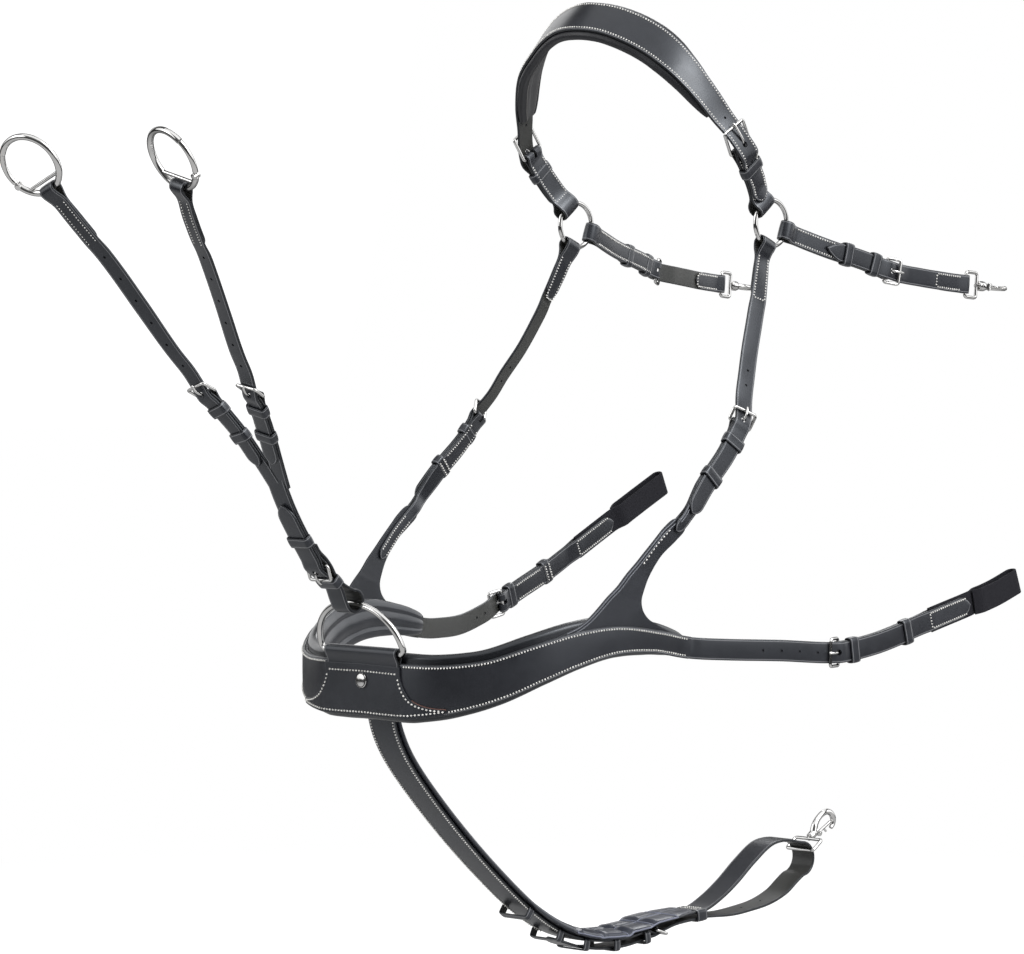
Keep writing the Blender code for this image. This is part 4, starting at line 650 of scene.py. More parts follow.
def billet_run(heel, side, far, tip):
    """Stops of a billet from its strap at far, through the buckle at heel, to its tip."""
    ways = [BUCKLE_DEPTH + 15 * MM, BUCKLE_DEPTH, 0.0, -9 * MM, -24 * MM]
    places = spaced(far, heel + side * ways[0], 18 * MM)[:-1]
    places += [heel + side * way for way in ways]
    places += spaced(heel - side * 38 * MM, tip, 16 * MM)
    return [(s, billet_level(s, heel, side), BILLET_THICK / 2) for s in places]


def tube(shape, points, radius, sides=12, closed=False, flat=None, squash=1.0):
    """A bar through points. radius is one size or one for each point; squash flattens it along flat."""
    count = len(points)
    sizes = radius if isinstance(radius, list) else [radius] * count
    rows, side_axis = [], None
    for i, point in enumerate(points):
        ahead = points[(i + 1) % count] if closed or i < count - 1 else point
        behind = points[i - 1] if closed or i > 0 else point
        along = (ahead - behind).normalized()
        if side_axis is None:
            side_axis = flat or along.orthogonal()
        side_axis = (side_axis - along * side_axis.dot(along)).normalized()
        other = along.cross(side_axis)
        turns = [2 * pi * (k + 0.5) / sides for k in range(sides)]
        rows.append([
            point + (side_axis * (cos(t) * squash) + other * sin(t)) * sizes[i] for t in turns
        ])
    shape.rows(rows, closed=closed)


def capped(points, radius, rounding=0.7):
    """A bar's points and sizes with its two ends rounded off."""
    first = (points[1] - points[0]).normalized()
    last = (points[-1] - points[-2]).normalized()
    steps = [(0.0, 0.3), (0.25, 0.7), (0.6, 0.92)]
    head = [points[0] - first * radius * rounding * (1 - a) for a, _ in steps]
    tail = [points[-1] + last * radius * rounding * (1 - a) for a, _ in reversed(steps)]
    sizes = [radius * b for _, b in steps] + [radius] * len(points)
    return head + list(points) + tail, sizes + [radius * b for _, b in reversed(steps)]


def filleted(points, radius, pieces=4):
    """A closed line with each corner rounded."""
    made = []
    count = len(points)
    for i, corner in enumerate(points):
        before = (points[i - 1] - corner).normalized() * radius
        after = (points[(i + 1) % count] - corner).normalized() * radius
        for k in range(pieces + 1):
            t = k / pieces
            made.append(corner + before * (1 - t) ** 2 + after * t**2)
    return made


def keeper(shape, route, s, half, low, high, length=KEEPER_LENGTH, wall=KEEPER_WALL):
    """A leather keeper: a creased band with soft corners round everything between low and high."""
    reach, bottom, top = half + wall / 2, low - wall / 2, high + wall / 2
    corners = [(reach, bottom), (reach, top), (-reach, top), (-reach, bottom)]
    line = filleted([route.place(s, n, b) for b, n in corners], 2.4 * MM)
    line = through(line, 3 * MM, closed=True)
    along = route.axes(s)[0]
    count = len(line)
    ply(shape, line, [along] * count, [length / 2] * count, [wall / 2] * count, closed=True, crown=0.25 * MM)


def lap_keepers(shape, route, places, half):
    low = -STACK_HALF + LAYER / 2
    high = LAP_LEVEL + BILLET_THICK / 2 + 2 * GAP
    for s in places:
        keeper(shape, route, s, half + SIDE_PLAY, low, high)


def small_hole(shape, route, s, level=0.0):
    """Cutters for a spare hole from both of a strap's faces, with a web left between them."""
    for face in (-1, 1):
        ends = [route.place(s, level + face * n) for n in (HOLE_WEB / 2, 3 * MM)]
        tube(shape, ends, SMALL_HOLE_RADIUS, 14)


def tongue_hole(shape, route, s, level=OVER_LEVEL):
    tube(shape, [route.place(s, level - HOLE_REACH), route.place(s, level + HOLE_REACH)], HOLE_RADIUS, 14)


def fold_slot(shape, route, heel, side):
    """A cutter for the gap in a fold where the tongue stands on its bar."""
    play = 0.8 * MM
    middle = heel + side * 0.4 * MM
    corners = [
        route.place(middle + x * (FOLD_OUTER + play), n * 2 * FOLD_OUTER, b * (TONGUE_WIRE + play))
        for x in (-1, 1) for n in (-1, 1) for b in (-1, 1)
    ]
    shape.add(corners, [(0, 1, 3, 2), (4, 6, 7, 5), (0, 4, 5, 1), (2, 3, 7, 6), (0, 2, 6, 4), (1, 5, 7, 3)])


def chape(node, route, stops, half, heel, side, keepers, body="breastplate", extra=None, keeper_half=None,
          **way):
    """A strap folded round the buckle's bar at heel, with the tongue's slot and its keepers."""
    skin, cutters = Shape(), Shape()
    extra = extra or Shape()
    run(skin, route, stops, half, **way)
    lap_keepers(extra, route, keepers, keeper_half or half)
    fold_slot(cutters, route, heel, side)
    leather_piece(node, skin, body, cutters=cutters, extra=extra)


def billet(node, route, stops, half, heel, side, holes=(), body="breastplate", extra=None, **way):
    """A strap through the buckle at heel, with its tongue's hole and spare holes this far (mm) from heel."""
    skin, cutters = Shape(), Shape()
    run(skin, route, stops, half, **way)
    for d in holes:
        s = heel + side * d * MM
        small_hole(cutters, route, s, billet_level(s, heel, side))
    tongue_hole(cutters, route, heel + side * TONGUE_AT)
    leather_piece(node, skin, body, cutters=cutters, extra=extra)


def sewn_billet(node, route, heel, tip, half, bore, stack, holes, body, pointed=False):
    """A billet from its tip, through the buckle at heel, to a sewn fold at the route's end."""
    end = route.length
    start = end - stack
    inner = end - 8 * MM - 1.2 * bore
    stops = list(reversed(billet_run(heel, 1, start - 8 * MM, tip)))
    stops += level_stops(start + 4 * MM, inner, LAYER / 2) + list(reversed(fold_stops(end, 1, bore)))
    stops += level_stops(inner, start, -LAYER / 2)
    billet(node, route, stops, half, heel, 1, holes, body, tips=(True, True), pointed=pointed)


# A stitch's sections: (share of its length, share of the thread's thickness, how far out it lies)
STITCH = ((0.0, 0.35, -0.5), (0.18, 0.85, 0.1), (0.5, 1.0, 0.35), (0.82, 0.85, 0.1), (1.0, 0.35, -0.5))


def sew(shape, places, outs, pitch=None, fine=1.0):
    """A row of thread stitches through places, lying on a surface that faces along outs."""
    look = bpy.context.scene.breastplate_look
    pitch = pitch or look.stitch_pitch
    size = look.thread_width / 2 * fine
    gone = lengths(places)
    count = int(gone[-1] / pitch)
    turns = [2 * pi * m / 6 for m in range(6)]
    for k in range(count):
        ends = []
        for share in (0.22, 0.76):
            d = (k + share) * pitch + (gone[-1] - count * pitch) / 2
            i = min(max(bisect_right(gone, d) - 1, 0), len(places) - 2)
            t = (d - gone[i]) / max(gone[i + 1] - gone[i], 1e-9)
            ends.append((places[i].lerp(places[i + 1], t), outs[i].lerp(outs[i + 1], t).normalized()))
        (start, out), (finish, _) = ends
        across = out.cross((finish - start).normalized()).normalized()
        rows = []
        for share, fat, lift in STITCH:
            centre = start.lerp(finish, share) + out * (size * lift)
            rows.append([centre + (across * cos(t) + out * sin(t)) * (size * fat) for t in turns])
        shape.rows(rows)


def sew_line(shape, route, line, pitch=None, face=1, fine=1.0):
    """Stitches through (s, n, b) on a route's outer side, or with face -1 on its inner side."""
    outs = [route.axes(s)[1] * face for s, _, _ in line]
    sew(shape, [route.place(*spot) for spot in line], outs, pitch, fine)


def sew_along(shape, route, start, end, n, b, pitch=None, face=1, fine=1.0):
    """Stitches along a route at n out of it and b across it. b is a size or a function of s."""
    line = through([(s, n) for s in spaced(start, end)], 2 * MM)
    sew_line(shape, route, [(s, n, size_at(b, s)) for s, n in line], pitch, face, fine)


def sew_pair(shape, route, start, end, n, b, face=1, fine=1.0):
    """Stitches along both halves of a strap."""
    for sign in (-1, 1):
        sew_along(shape, route, start, end, n, sign * b, face=face, fine=fine)


def sew_across(shape, route, s, n, half, face=1):
    sew_line(shape, route, [(s, n, b) for b in spaced(-half, half, 2 * MM)], face=face)


def sew_edges(shape, route, start, end, half, level=STACK_HALF, inset=SEAM_INSET, ends=(), faces=(1, -1),
              fine=1.0):
    """A row of stitches along each edge of a strap's faces, and across them at ends."""
    for face in faces:
        sew_pair(shape, route, start, end, face * level, half - inset, face, fine)
        for s in ends:
            sew_across(shape, route, s, face * level, half - inset, face)


def sew_keeper(shape, route, s, half, level, apart=0.28 * KEEPER_LENGTH, lift=0.15 * MM):
    """Two rows of stitches across a keeper's face at that level."""
    face = 1 if level > 0 else -1
    for place in (s - apart, s + apart):
        sew_across(shape, route, place, level + face * lift, half, face)


def wither_half(distance):
    """Half the wither strap's width at a distance from the crest."""
    half, narrow = WITHER_WIDTH / 2, WITHER_BILLET_WIDTH / 2
    stops = [(60 * MM, half), (105 * MM, half - 1.2 * MM), (145 * MM, half - 4 * MM)]
    stops += [(178 * MM, narrow + 1.3 * MM), (196 * MM, narrow)]
    return widths_between(stops, abs(distance))


def ring_bore(wire, radius, half_width):
    """The bore that a curved wire needs where a strap of this half width folds round it."""
    sag = radius - sqrt(radius * radius - half_width * half_width)
    return wire + sag + 0.7 * MM


def wither_bore(half):
    return ring_bore(WITHER_RING_WIRE, WITHER_RING_RADIUS, half)


def cushion(shape, route, places, width_at, top, thick_at, channels, ripple=0.25 * MM, seed=0.0, rise=0.0):
    """A padded lining behind a strap, crowned away from it and drawn in at its edges.

    channels run along it, each as (place across, reach, depth) in shares of its half width and
    thickness. rise shifts the cushion across the strap.
    """
    look = bpy.context.scene.breastplate_look
    rows, marks = [], []
    pieces = 26
    for s in places:
        width, thick = width_at(s), thick_at(s) * look.padding_fullness
        across, deep = min(5 * MM, 0.4 * width), thick / 2
        flat = width - across
        arc = [radians(22.5 * k) for k in (1, 2, 3)]
        row = [(-flat - across * sin(a), top - deep * (1 - cos(a))) for a in reversed(arc)]
        row += [(share * flat, top) for share in (-1.0, -0.5, 0.0, 0.5, 1.0)]
        row += [(flat + across * sin(a), top - deep * (1 - cos(a))) for a in arc]
        edges = [(0.0, s)] * len(row)
        for k in range(pieces + 1):
            angle = pi * k / pieces
            x = (abs(cos(angle)) ** 0.72) * (1 if cos(angle) >= 0 else -1)
            y = max(sin(angle), 0.0) ** 0.62
            for at, reach, dip in channels:
                y *= 1 - dip * max(0.0, 1 - ((x - at) / reach) ** 2) ** 2
            wobble = noise.noise(Vector((s * 55 + seed, x * 1.3, seed))) * ripple
            row.append((width * x + wobble * 0.4, top - deep - (thick - deep) * y + wobble * y))
            edges.append((width * (1 - abs(x)) * (1 if y > 0.2 else 0), s))
        rows.append([route.place(s, n, b + rise) for b, n in row])
        marks.append(edges)
    shape.rows(rows, marks)


def buckle(node, route, heel, side, width, body="breastplate", depth=BUCKLE_DEPTH):
    """A single-bar buckle with its tongue: heel bar in the chape's fold, front bar over the billet."""
    half = width / 2 + BUCKLE_WIRE + 2 * SIDE_PLAY
    rise = FRONT_BAR_LEVEL / depth

    def at(d, n, b):
        return route.place(heel + side * d, n, b)

    shape = Shape()
    corners = [at(d, d * rise, b) for d, b in ((0, -half), (depth, -half), (depth, half), (0, half))]
    _, out, across = route.axes(heel)
    tube(shape, filleted(corners, 2.6 * MM, 6), BUCKLE_WIRE, 14, closed=True, flat=out, squash=0.92)
    top = FRONT_BAR_LEVEL + BUCKLE_WIRE + TONGUE_WIRE + 0.2 * MM
    line = [(0.0, 0.6 * MM), (2.4 * MM, 3.2 * MM), (4.9 * MM, 6.6 * MM), (8.4 * MM, 8.6 * MM)]
    line += [(depth, max(top, 8.8 * MM)), (depth + 2.6 * MM, top - 0.6 * MM)]
    spine = through([at(d, n, 0) for d, n in line], 1 * MM)
    tube(shape, *capped(spine, TONGUE_WIRE), 12, flat=across)
    collar = [at(0, 0, b) for b in spaced(-2.1 * MM, 2.1 * MM, 1.4 * MM)]
    tube(shape, collar, BUCKLE_WIRE + 0.35 * MM, 14, flat=out)
    metal_piece(node, shape, body, sharp=40)


def pin(shape, centre, reach, radius, sides=12, rounding=0.7):
    """A short round bar with rounded ends, which reaches both ways from its centre."""
    tube(shape, *capped([centre - reach, centre + reach], radius, rounding), sides)


def hinge(shape, pivot, across, cheek_at, cheek_half, radius, reach):
    """Two round cheeks beside a pivot, and the pin through them."""
    for sign in (-1, 1):
        pin(shape, pivot + across * (sign * cheek_at), across * cheek_half, radius, 24, 0.15)
    pin(shape, pivot, across * reach, 0.9 * MM)


def piped(name, lines):
    """The round piping along lines, as one piece, in a paler leather that paints a highlight along it."""
    shape = Shape()
    for line in lines:
        tube(shape, line, PIPING_RADIUS, 8)
    piece(name, shape, leather("piping_leather"))


def fill(tree, node, inputs):
    """Sets each named input of a node to its value, or links it to its socket."""
    for key, value in inputs.items():
        if isinstance(value, bpy.types.NodeSocket):
            tree.links.new(value, node.inputs[key])
        else:
            node.inputs[key].default_value = value


def add_node(tree, kind, inputs=None, **settings):
    """A shader node with its settings and inputs."""
    node = tree.nodes.new(f"ShaderNode{kind}")
    for key, value in settings.items():
        setattr(node, key, value)
    fill(tree, node, inputs or {})
    return node


def math_node(tree, operation, *values):
    """One sum on sockets or numbers, and its output socket."""
    return add_node(tree, "Math", dict(enumerate(values)), operation=operation).outputs[0]


def ramp(tree, value, low, high, out_low=0.0, out_high=1.0):
    """A value spread smoothly from one range to another."""
    ends = {"Value": value, "From Min": low, "From Max": high, "To Min": out_low, "To Max": out_high}
    return add_node(tree, "MapRange", ends, interpolation_type="SMOOTHSTEP").outputs["Result"]


# The Mix node's colour sockets
MIX_FIRST, MIX_SECOND, MIX_RESULT = 6, 7, 2


def mixed_colour(tree, share, first, second):
    """A colour between two, each a socket or a colour."""
    colours = [c if isinstance(c, bpy.types.NodeSocket) else (*c, 1.0) for c in (first, second)]
    inputs = {"Factor": share, MIX_FIRST: colours[0], MIX_SECOND: colours[1]}
    return add_node(tree, "Mix", inputs, data_type="RGBA").outputs[MIX_RESULT]


def tinted(colour, share):
    return tuple(c * share for c in colour)


def object_place(tree):
    return add_node(tree, "TexCoord").outputs["Object"]


def noise_texture(tree, place, **inputs):
    return add_node(tree, "TexNoise", {"Vector": place, **inputs}).outputs["Fac"]


def strap_marks(tree):
    """A strap's marks: X across from its nearest edge and Y along it."""
    marks = add_node(tree, "UVMap", uv_map="strap").outputs["UV"]
    return add_node(tree, "SeparateXYZ", {"Vector": marks}).outputs


def edge_distance(tree):
    return math_node(tree, "MULTIPLY", strap_marks(tree)["X"], MARK_SCALE / MM)


def bumped(tree, height, strength, distance):
    """The surface's direction, disturbed by a height."""
    inputs = {"Strength": strength, "Distance": distance, "Height": height}
    return add_node(tree, "Bump", inputs).outputs["Normal"]


def grouped(tree, name, sockets, outputs, build, values):
    """A node group's outputs in a material. build(group, its inputs) gives their sources, and runs once."""
    made = bpy.data.node_groups.get(name)
    if made is None:
        made = bpy.data.node_groups.new(name, "ShaderNodeTree")
        for label, value in sockets.items():
            socket = made.interface.new_socket(label, in_out="INPUT", socket_type="NodeSocketFloat")
            socket.default_value = value
        for label in outputs:
            made.interface.new_socket(label, in_out="OUTPUT", socket_type="NodeSocketFloat")
        given = made.nodes.new("NodeGroupInput").outputs
        fill(made, made.nodes.new("NodeGroupOutput"), build(made, given))
    return add_node(tree, "Group", values, node_tree=made).outputs


def build_grain(tree, given):
    """Leather grain: fine pebbles and pores with slow changes of tone."""
    place = object_place(tree)
    inputs = {"Vector": place, "Scale": given["Pebble Size"], "Smoothness": 0.6}
    pebbles = add_node(tree, "TexVoronoi", inputs, feature="SMOOTH_F1")
    wrinkles = noise_texture(tree, place, Scale=given["Wrinkle Size"], Detail=3.0, Distortion=0.6)
    slow = noise_texture(tree, place, Scale=14.0, Detail=3.0)
    fine = math_node(tree, "MULTIPLY", pebbles.outputs["Distance"], 0.6)
    return {
        "Height": math_node(tree, "MULTIPLY_ADD", wrinkles, 0.7, fine),
        "Tone": math_node(tree, "MULTIPLY_ADD", slow, 0.75, math_node(tree, "MULTIPLY", wrinkles, 0.25)),
    }


def grained(tree, pebble, wrinkle):
    """The grain's tone, from 0 to 1, and its height."""
    sockets = {"Pebble Size": 900.0, "Wrinkle Size": 70.0}
    values = {"Pebble Size": pebble, "Wrinkle Size": wrinkle}
    grain = grouped(tree, "Leather grain", sockets, ("Height", "Tone"), build_grain, values)
    return ramp(tree, grain["Tone"], 0.3, 0.7), grain["Height"]


def build_edge(tree, given):
    """What happens near a strap's long edges: a pressed crease line, which leather() also paints lighter as a
    highlight, and a burnished, darker edge.
    """
    edge = edge_distance(tree)
    away = math_node(tree, "ABSOLUTE", math_node(tree, "SUBTRACT", edge, given["Crease From Edge"]))
    share = math_node(tree, "DIVIDE", away, given["Crease Width"])
    return {
        "Crease": ramp(tree, share, 0.5, 1.0, 1.0, 0.0),
        "Burnish": ramp(tree, math_node(tree, "ABSOLUTE", edge), 0.2, 1.0, 1.0, 0.0),
        "Flesh Side": ramp(tree, edge, -0.9, -0.3, 1.0, 0.0),
    }


def look_colour(name):
    """A colour, or the one that the look's property of this name holds."""
    return tuple(getattr(bpy.context.scene.breastplate_look, name)) if isinstance(name, str) else name


def finish(name, inputs_in):
    """The material of that name. inputs_in(tree) gives its shader's inputs, and runs once."""
    made = bpy.data.materials.get(name)
    if made is None:
        made = bpy.data.materials.new(name)
        made.use_nodes = True
        fill(made.node_tree, made.node_tree.nodes["Principled BSDF"], inputs_in(made.node_tree))
    return made


NO_CREASE = -20.0
PIPING_GREY = (0.13, 0.14, 0.19)
UNDYED = (0.085, 0.035, 0.024)
# Grain side, flesh side, roughness, pebble size, wrinkle size, depth, crease's distance from the edge
LEATHERS = {
    "bridle_leather": ("leather_colour", "flesh_colour", 0.36, 1000.0, 110.0, 0.2, 1.5),
    "padded_leather": ("leather_colour", "leather_colour", 0.36, 900.0, 60.0, 0.3, NO_CREASE),
    "quilted_leather": ("quilt_colour", "quilt_colour", 0.34, 900.0, 60.0, 0.3, NO_CREASE),
    "quilt_piping": (PIPING_GREY, PIPING_GREY, 0.4, 1000.0, 110.0, 0.1, NO_CREASE),
    # The piping's paler colour is a painted highlight along the horns' and tugs' piping.
    "piping_leather": ("piping_colour", "piping_colour", 0.3, 1000.0, 110.0, 0.1, NO_CREASE),
    "raw_edge": (UNDYED, UNDYED, 0.6, 1300.0, 200.0, 0.4, NO_CREASE),
}


def leather(name):
    """A leather finish, with its grain side's colour and its flesh side's."""
    colour, back, rough, pebble, wrinkle, depth, crease = LEATHERS[name]

    def inputs(tree):
        grain_side, flesh_side = look_colour(colour), look_colour(back)
        tone, height = grained(tree, pebble, wrinkle)
        sockets = {"Crease From Edge": 1.4, "Crease Width": 0.55}
        edge = grouped(tree, "Strap edge", sockets, ("Crease", "Burnish", "Flesh Side"), build_edge,
                       {"Crease From Edge": crease})
        face = mixed_colour(tree, tone, grain_side, tuple(c * 1.45 + 0.002 for c in grain_side))
        rubbed = mixed_colour(tree, edge["Burnish"], face, tinted(grain_side, 0.5))
        # Painted highlight: the crease lines are lightened towards pale grey. Their pressed dent in the bump
        # is real.
        line = math_node(tree, "MULTIPLY", edge["Crease"], 0.75)
        highlit_creases = mixed_colour(tree, line, rubbed, tuple(c * 3 + 0.16 for c in grain_side))
        flesh = mixed_colour(tree, tone, flesh_side, tinted(flesh_side, 1.3))
        worn = math_node(tree, "MULTIPLY_ADD", tone, 0.12, rough - 0.06)
        pressed = math_node(tree, "MULTIPLY_ADD", edge["Crease"], -2.2, height)
        return {
            "Base Color": mixed_colour(tree, edge["Flesh Side"], highlit_creases, flesh),
            "Roughness": math_node(tree, "MULTIPLY_ADD", edge["Flesh Side"], 0.28, worn),
            "Specular Tint": (0.82, 0.9, 1.0, 1.0),
            "Coat Weight": 0.4,
            "Coat Roughness": 0.24,
            "Normal": bumped(tree, pressed, depth, 0.16 * MM),
        }

    return finish(name, inputs)


def lining_leather():
    """The wither pad: smooth rolls at its edges and a paler lining between them."""

    def inputs(tree):
        tone, height = grained(tree, 700.0, 120.0)
        edge = edge_distance(tree)
        inner = ramp(tree, edge, 7.6, 8.2)
        seam = math_node(tree, "SUBTRACT", ramp(tree, edge, 7.1, 7.6), inner)
        colour, lining = look_colour("leather_colour"), look_colour("lining_colour")
        roll = mixed_colour(tree, tone, colour, tinted(colour, 1.4))
        middle = mixed_colour(tree, tone, lining, tinted(lining, 1.5))
        base = mixed_colour(tree, inner, roll, middle)
        pressed = math_node(tree, "MULTIPLY_ADD", seam, -2.0, height)
        return {
            "Base Color": mixed_colour(tree, seam, base, (0.22, 0.21, 0.2)),
            "Roughness": math_node(tree, "MULTIPLY_ADD", inner, 0.3, 0.42),
            "Normal": bumped(tree, pressed, 0.5, 0.25 * MM),
        }

    return finish("pad_lining", inputs)


def thread():
    """Waxed linen thread, a little uneven in colour."""

    def inputs(tree):
        colour = look_colour("thread_colour")
        share = ramp(tree, noise_texture(tree, object_place(tree), Scale=420.0), 0.3, 0.62)
        return {"Base Color": mixed_colour(tree, share, tinted(colour, 0.62), colour), "Roughness": 0.62}

    return finish("waxed_thread", inputs)


def polished_nickel():
    """Polished nickel plate with faint scratches, a little dullness in places, and a painted dark reflection
    towards the edges that turn away from the view.
    """

    def inputs(tree):
        colour = look_colour("metal_colour")
        place = object_place(tree)
        dull = ramp(tree, noise_texture(tree, place, Scale=90.0, Detail=6.0), 0.35, 0.7)
        stretch = add_node(tree, "Mapping", {"Vector": place, "Scale": (300.0, 300.0, 2600.0)})
        scratches = noise_texture(tree, stretch.outputs["Vector"], Scale=1.0)
        plate = mixed_colour(tree, dull, colour, tinted(colour, 0.9))
        # Painted dark reflection: the base colour darkens where the surface turns away from the view.
        turned = add_node(tree, "LayerWeight", {"Blend": 0.5}).outputs["Facing"]
        rim = ramp(tree, turned, 0.28, 0.7, 0.0, 0.85)
        return {
            "Base Color": mixed_colour(tree, rim, plate, tinted(colour, 0.12)),
            "Metallic": 1.0,
            "Roughness": math_node(tree, "MULTIPLY_ADD", dull, 0.08, 0.07),
            "Normal": bumped(tree, scratches, 0.06, 0.05 * MM),
        }

    return finish("polished_nickel", inputs)


def woven_elastic():
    """Ribbed elastic webbing: cords along it, crossed by fine threads."""

    def inputs(tree):
        colour = look_colour("elastic_colour")
        marks = strap_marks(tree)

        def wave(axis, pitch):
            turns = math_node(tree, "MULTIPLY", marks[axis], MARK_SCALE / MM * 2 * pi / pitch)
            return math_node(tree, "SINE", turns)

        cords = math_node(tree, "ABSOLUTE", wave("X", 1.5))
        weave = math_node(tree, "MULTIPLY_ADD", wave("Y", 0.9), 0.4, cords)
        share = ramp(tree, weave, -0.2, 1.2)
        return {
            "Base Color": mixed_colour(tree, share, tinted(colour, 0.88), tinted(colour, 1.28)),
            "Roughness": 0.85,
            "Specular IOR Level": 0.2,
            "Normal": bumped(tree, weave, 0.5, 0.2 * MM),
        }

    return finish("woven_elastic", inputs)


class BREASTPLATE_OT_wither(bpy.types.Operator):
    """Builds the strap over the withers, its pad, and the ring and buckle at each end"""

    bl_idname = "breastplate.wither"
    bl_label = "Wither strap"

    def execute(self, context):
        route = Route(two_sided(NEAR_WITHER[1:], NEAR_WITHER[0]),
                      two_sided(NEAR_WITHER_OUT[1:], NEAR_WITHER_OUT[0]))
        middle = route.length / 2
        heel = middle - WITHER_HEEL
        tip = middle - 6.5 * MM

        def level(s):
            distance = abs(s - middle)
            lift = widths_between([(middle - 15 * MM, 0.0), (tip, TIP_LIFT)], distance)
            return billet_level(distance, heel, -1, WITHER_BUCKLE_DEPTH, BILLET_BOW) + lift

        places = spaced(0.0, heel - 42 * MM, 16 * MM)[:-1] + [heel - 37 * MM, heel - WITHER_BUCKLE_DEPTH]
        places += [heel + d * MM for d in (0, 8, 17, 24, 38)] + [middle - 15 * MM, tip]
        places = [-p for p in reversed(places[1:])] + places
        stops = [(middle + d, level(middle + d), PANEL_THICK / 2) for d in places]
        skin, threads, holes, pad = Shape(), Shape(), Shape(), Shape()
        run(skin, route, stops, lambda s: wither_half(s - middle), tips=(True, True), crown=0.5 * MM)
        for side in (-1, 1):
            for spot in (middle + side * (heel - 33 * MM), middle + side * (heel + 14 * MM)):
                small_hole(holes, route, spot, level(spot))
            tongue_hole(holes, route, middle + side * (heel - TONGUE_AT), LAP_LEVEL)
        leather_piece("wither_strap", skin, cutters=holes)
        self.sew_round(threads, route, middle, tip, level)
        end = 175 * MM

        def fade(s):
            return sqrt(max(1 - (abs(s - middle) / (end + 3 * MM)) ** 6, 0.0))

        cushion(pad, route, spaced(middle - end, middle + end, 3.5 * MM),
                lambda s: (wither_half(s - middle) + WITHER_PAD_EDGE) * (0.55 + 0.45 * fade(s)),
                -PANEL_THICK / 2 - GAP,
                lambda s: WITHER_PAD_THICK * (0.35 + 0.65 * fade(s)), [(0.0, 0.3, 0.45)], seed=3.0)
        padded_piece("wither_pad_rolls", pad, lining_leather(), "wither_pad")
        for name, side in SIDES:
            self.build_end(name, side, threads)
        stitching("wither_stitching", threads)
        return {"FINISHED"}

    def sew_round(self, threads, route, middle, tip, level):
        """One row of stitches all the way round the strap, along its edges and its two tips."""
        inset = 2.8 * MM
        narrow = WITHER_BILLET_WIDTH / 2 - inset
        reach = tip - WITHER_BILLET_WIDTH / 2
        row = []
        for side in (1, -1):
            row += [(side * d, side * (wither_half(d) - inset)) for d in spaced(-reach, reach, 6 * MM)]
            turns = [pi * (0.5 - k / 8) for k in range(1, 8)]
            row += [(side * (reach + narrow * cos(a)), side * narrow * sin(a)) for a in turns]
        top = PANEL_THICK / 2 + THREAD_LIFT
        sew_line(threads, route, [(middle + d, level(middle + d) + top, b) for d, b in row + row[:1]])

    def build_end(self, name, side, threads):
        route = Route(sided(NEAR_WITHER, side), sided(NEAR_WITHER_OUT, side))
        end = route.length
        heel = end - WITHER_HEEL
        half = WITHER_BILLET_WIDTH / 2
        stops = chape_loop(heel, FOLD_BORE, end, wither_bore(half))
        chape(f"{name}_wither_chape", route, stops, half, heel, -1, [heel + 22 * MM], closed=True)
        sew_edges(threads, route, heel + 8 * MM, end - 12 * MM, half, inset=2.4 * MM, ends=[end - 12 * MM])
        buckle(f"{name}_wither_buckle", route, heel, -1, WITHER_BILLET_WIDTH, depth=WITHER_BUCKLE_DEPTH)
        centre = mm(*sided([WITHER_RING_CENTRE], side)[0])
        turns = [2 * pi * k / 72 for k in range(72)]
        points = [centre + Vector((0, cos(t), sin(t))) * WITHER_RING_RADIUS for t in turns]
        ring = Shape()
        tube(ring, points, WITHER_RING_WIRE, 16, closed=True, flat=Vector((1, 0, 0)))
        metal_piece(f"{name}_wither_ring", ring, "breastplate")


def collar_route():
    return Route(two_sided(NEAR_COLLAR, COLLAR_FRONT), two_sided(COLLAR_OUT, (0.0, -1.0, 0.0)))


def collar_distance(route, index):
    """How far from the collar's middle the near side's point number index lies."""
    return route.knot(len(NEAR_COLLAR) + 1 + index) - route.length / 2


def collar_half(route, distance):
    """Half the height of the collar's face at a distance from its middle."""
    stops = [0.0] + [collar_distance(route, i) for i in range(len(NEAR_COLLAR))]
    return widths_between(list(zip(stops, (w * MM for w in COLLAR_HALVES))), abs(distance))


# The horn's edge, as (distance from the collar's point 6, height above its middle line)
HORN_POINT = 6
HORN_FRONT = [(-50, 17.4), (-38, 19.5), (-27, 24), (-16, 31.5), (-6.5, 40), (2.5, 48.5), (11, 60)]
HORN_FRONT += [(19, 70), (27, 81), (36, 93), (45, 105), (51, 113)]
HORN_BACK = [(56, 115), (63, 107), (56, 95), (46.5, 82), (38, 69), (32, 57), (28.5, 46), (26.5, 36), (29, 27)]
HORN_BACK += [(36, 20), (47, 15.5)]
GIRTH_LAP = 22 * MM
TUG_LAP = [(61.0, 116.0), (51.0, 100.0), (41.0, 85.0), (32.0, 72.0), (24.0, 60.0)]
OVERLAY_LOW = PANEL_THICK / 2 + GAP
OVERLAY_HIGH = OVERLAY_LOW + LAYER
OVERLAY_PITCH = 3.9 * MM
ROLL_HALF = CHEST_RING_HALF - 6 * MM
ROLL_BORE = CHEST_RING_WIRE + 0.5 * MM
STUD_HEIGHT_ON_FACE = 7 * MM
COLLAR_CHANNELS = [(0.42, 0.16, 0.3), (-0.42, 0.16, 0.3)]
COLLAR_PAD_RISE = 2.6 * MM
HORN_PITCH = 4.2 * MM
PIPING_RADIUS = 0.7 * MM
PIPING_INSETS = (1.2 * MM, 3.6 * MM)
# The overlay's bell-shaped side, as (past the roll's end, height), and the stud's (height, share of radius)
BELL = [(0, 22), (2, 9), (9, -4), (15, -9.5), (24, -13.5), (34, -16), (44, -17.5)]
STUD = [(0, 0.96), (0.5, 1), (1.3, 1), (1.75, 0.95), (1.7, 0.84), (1.85, 0.7), (2.15, 0.4), (2.25, 0.12)]


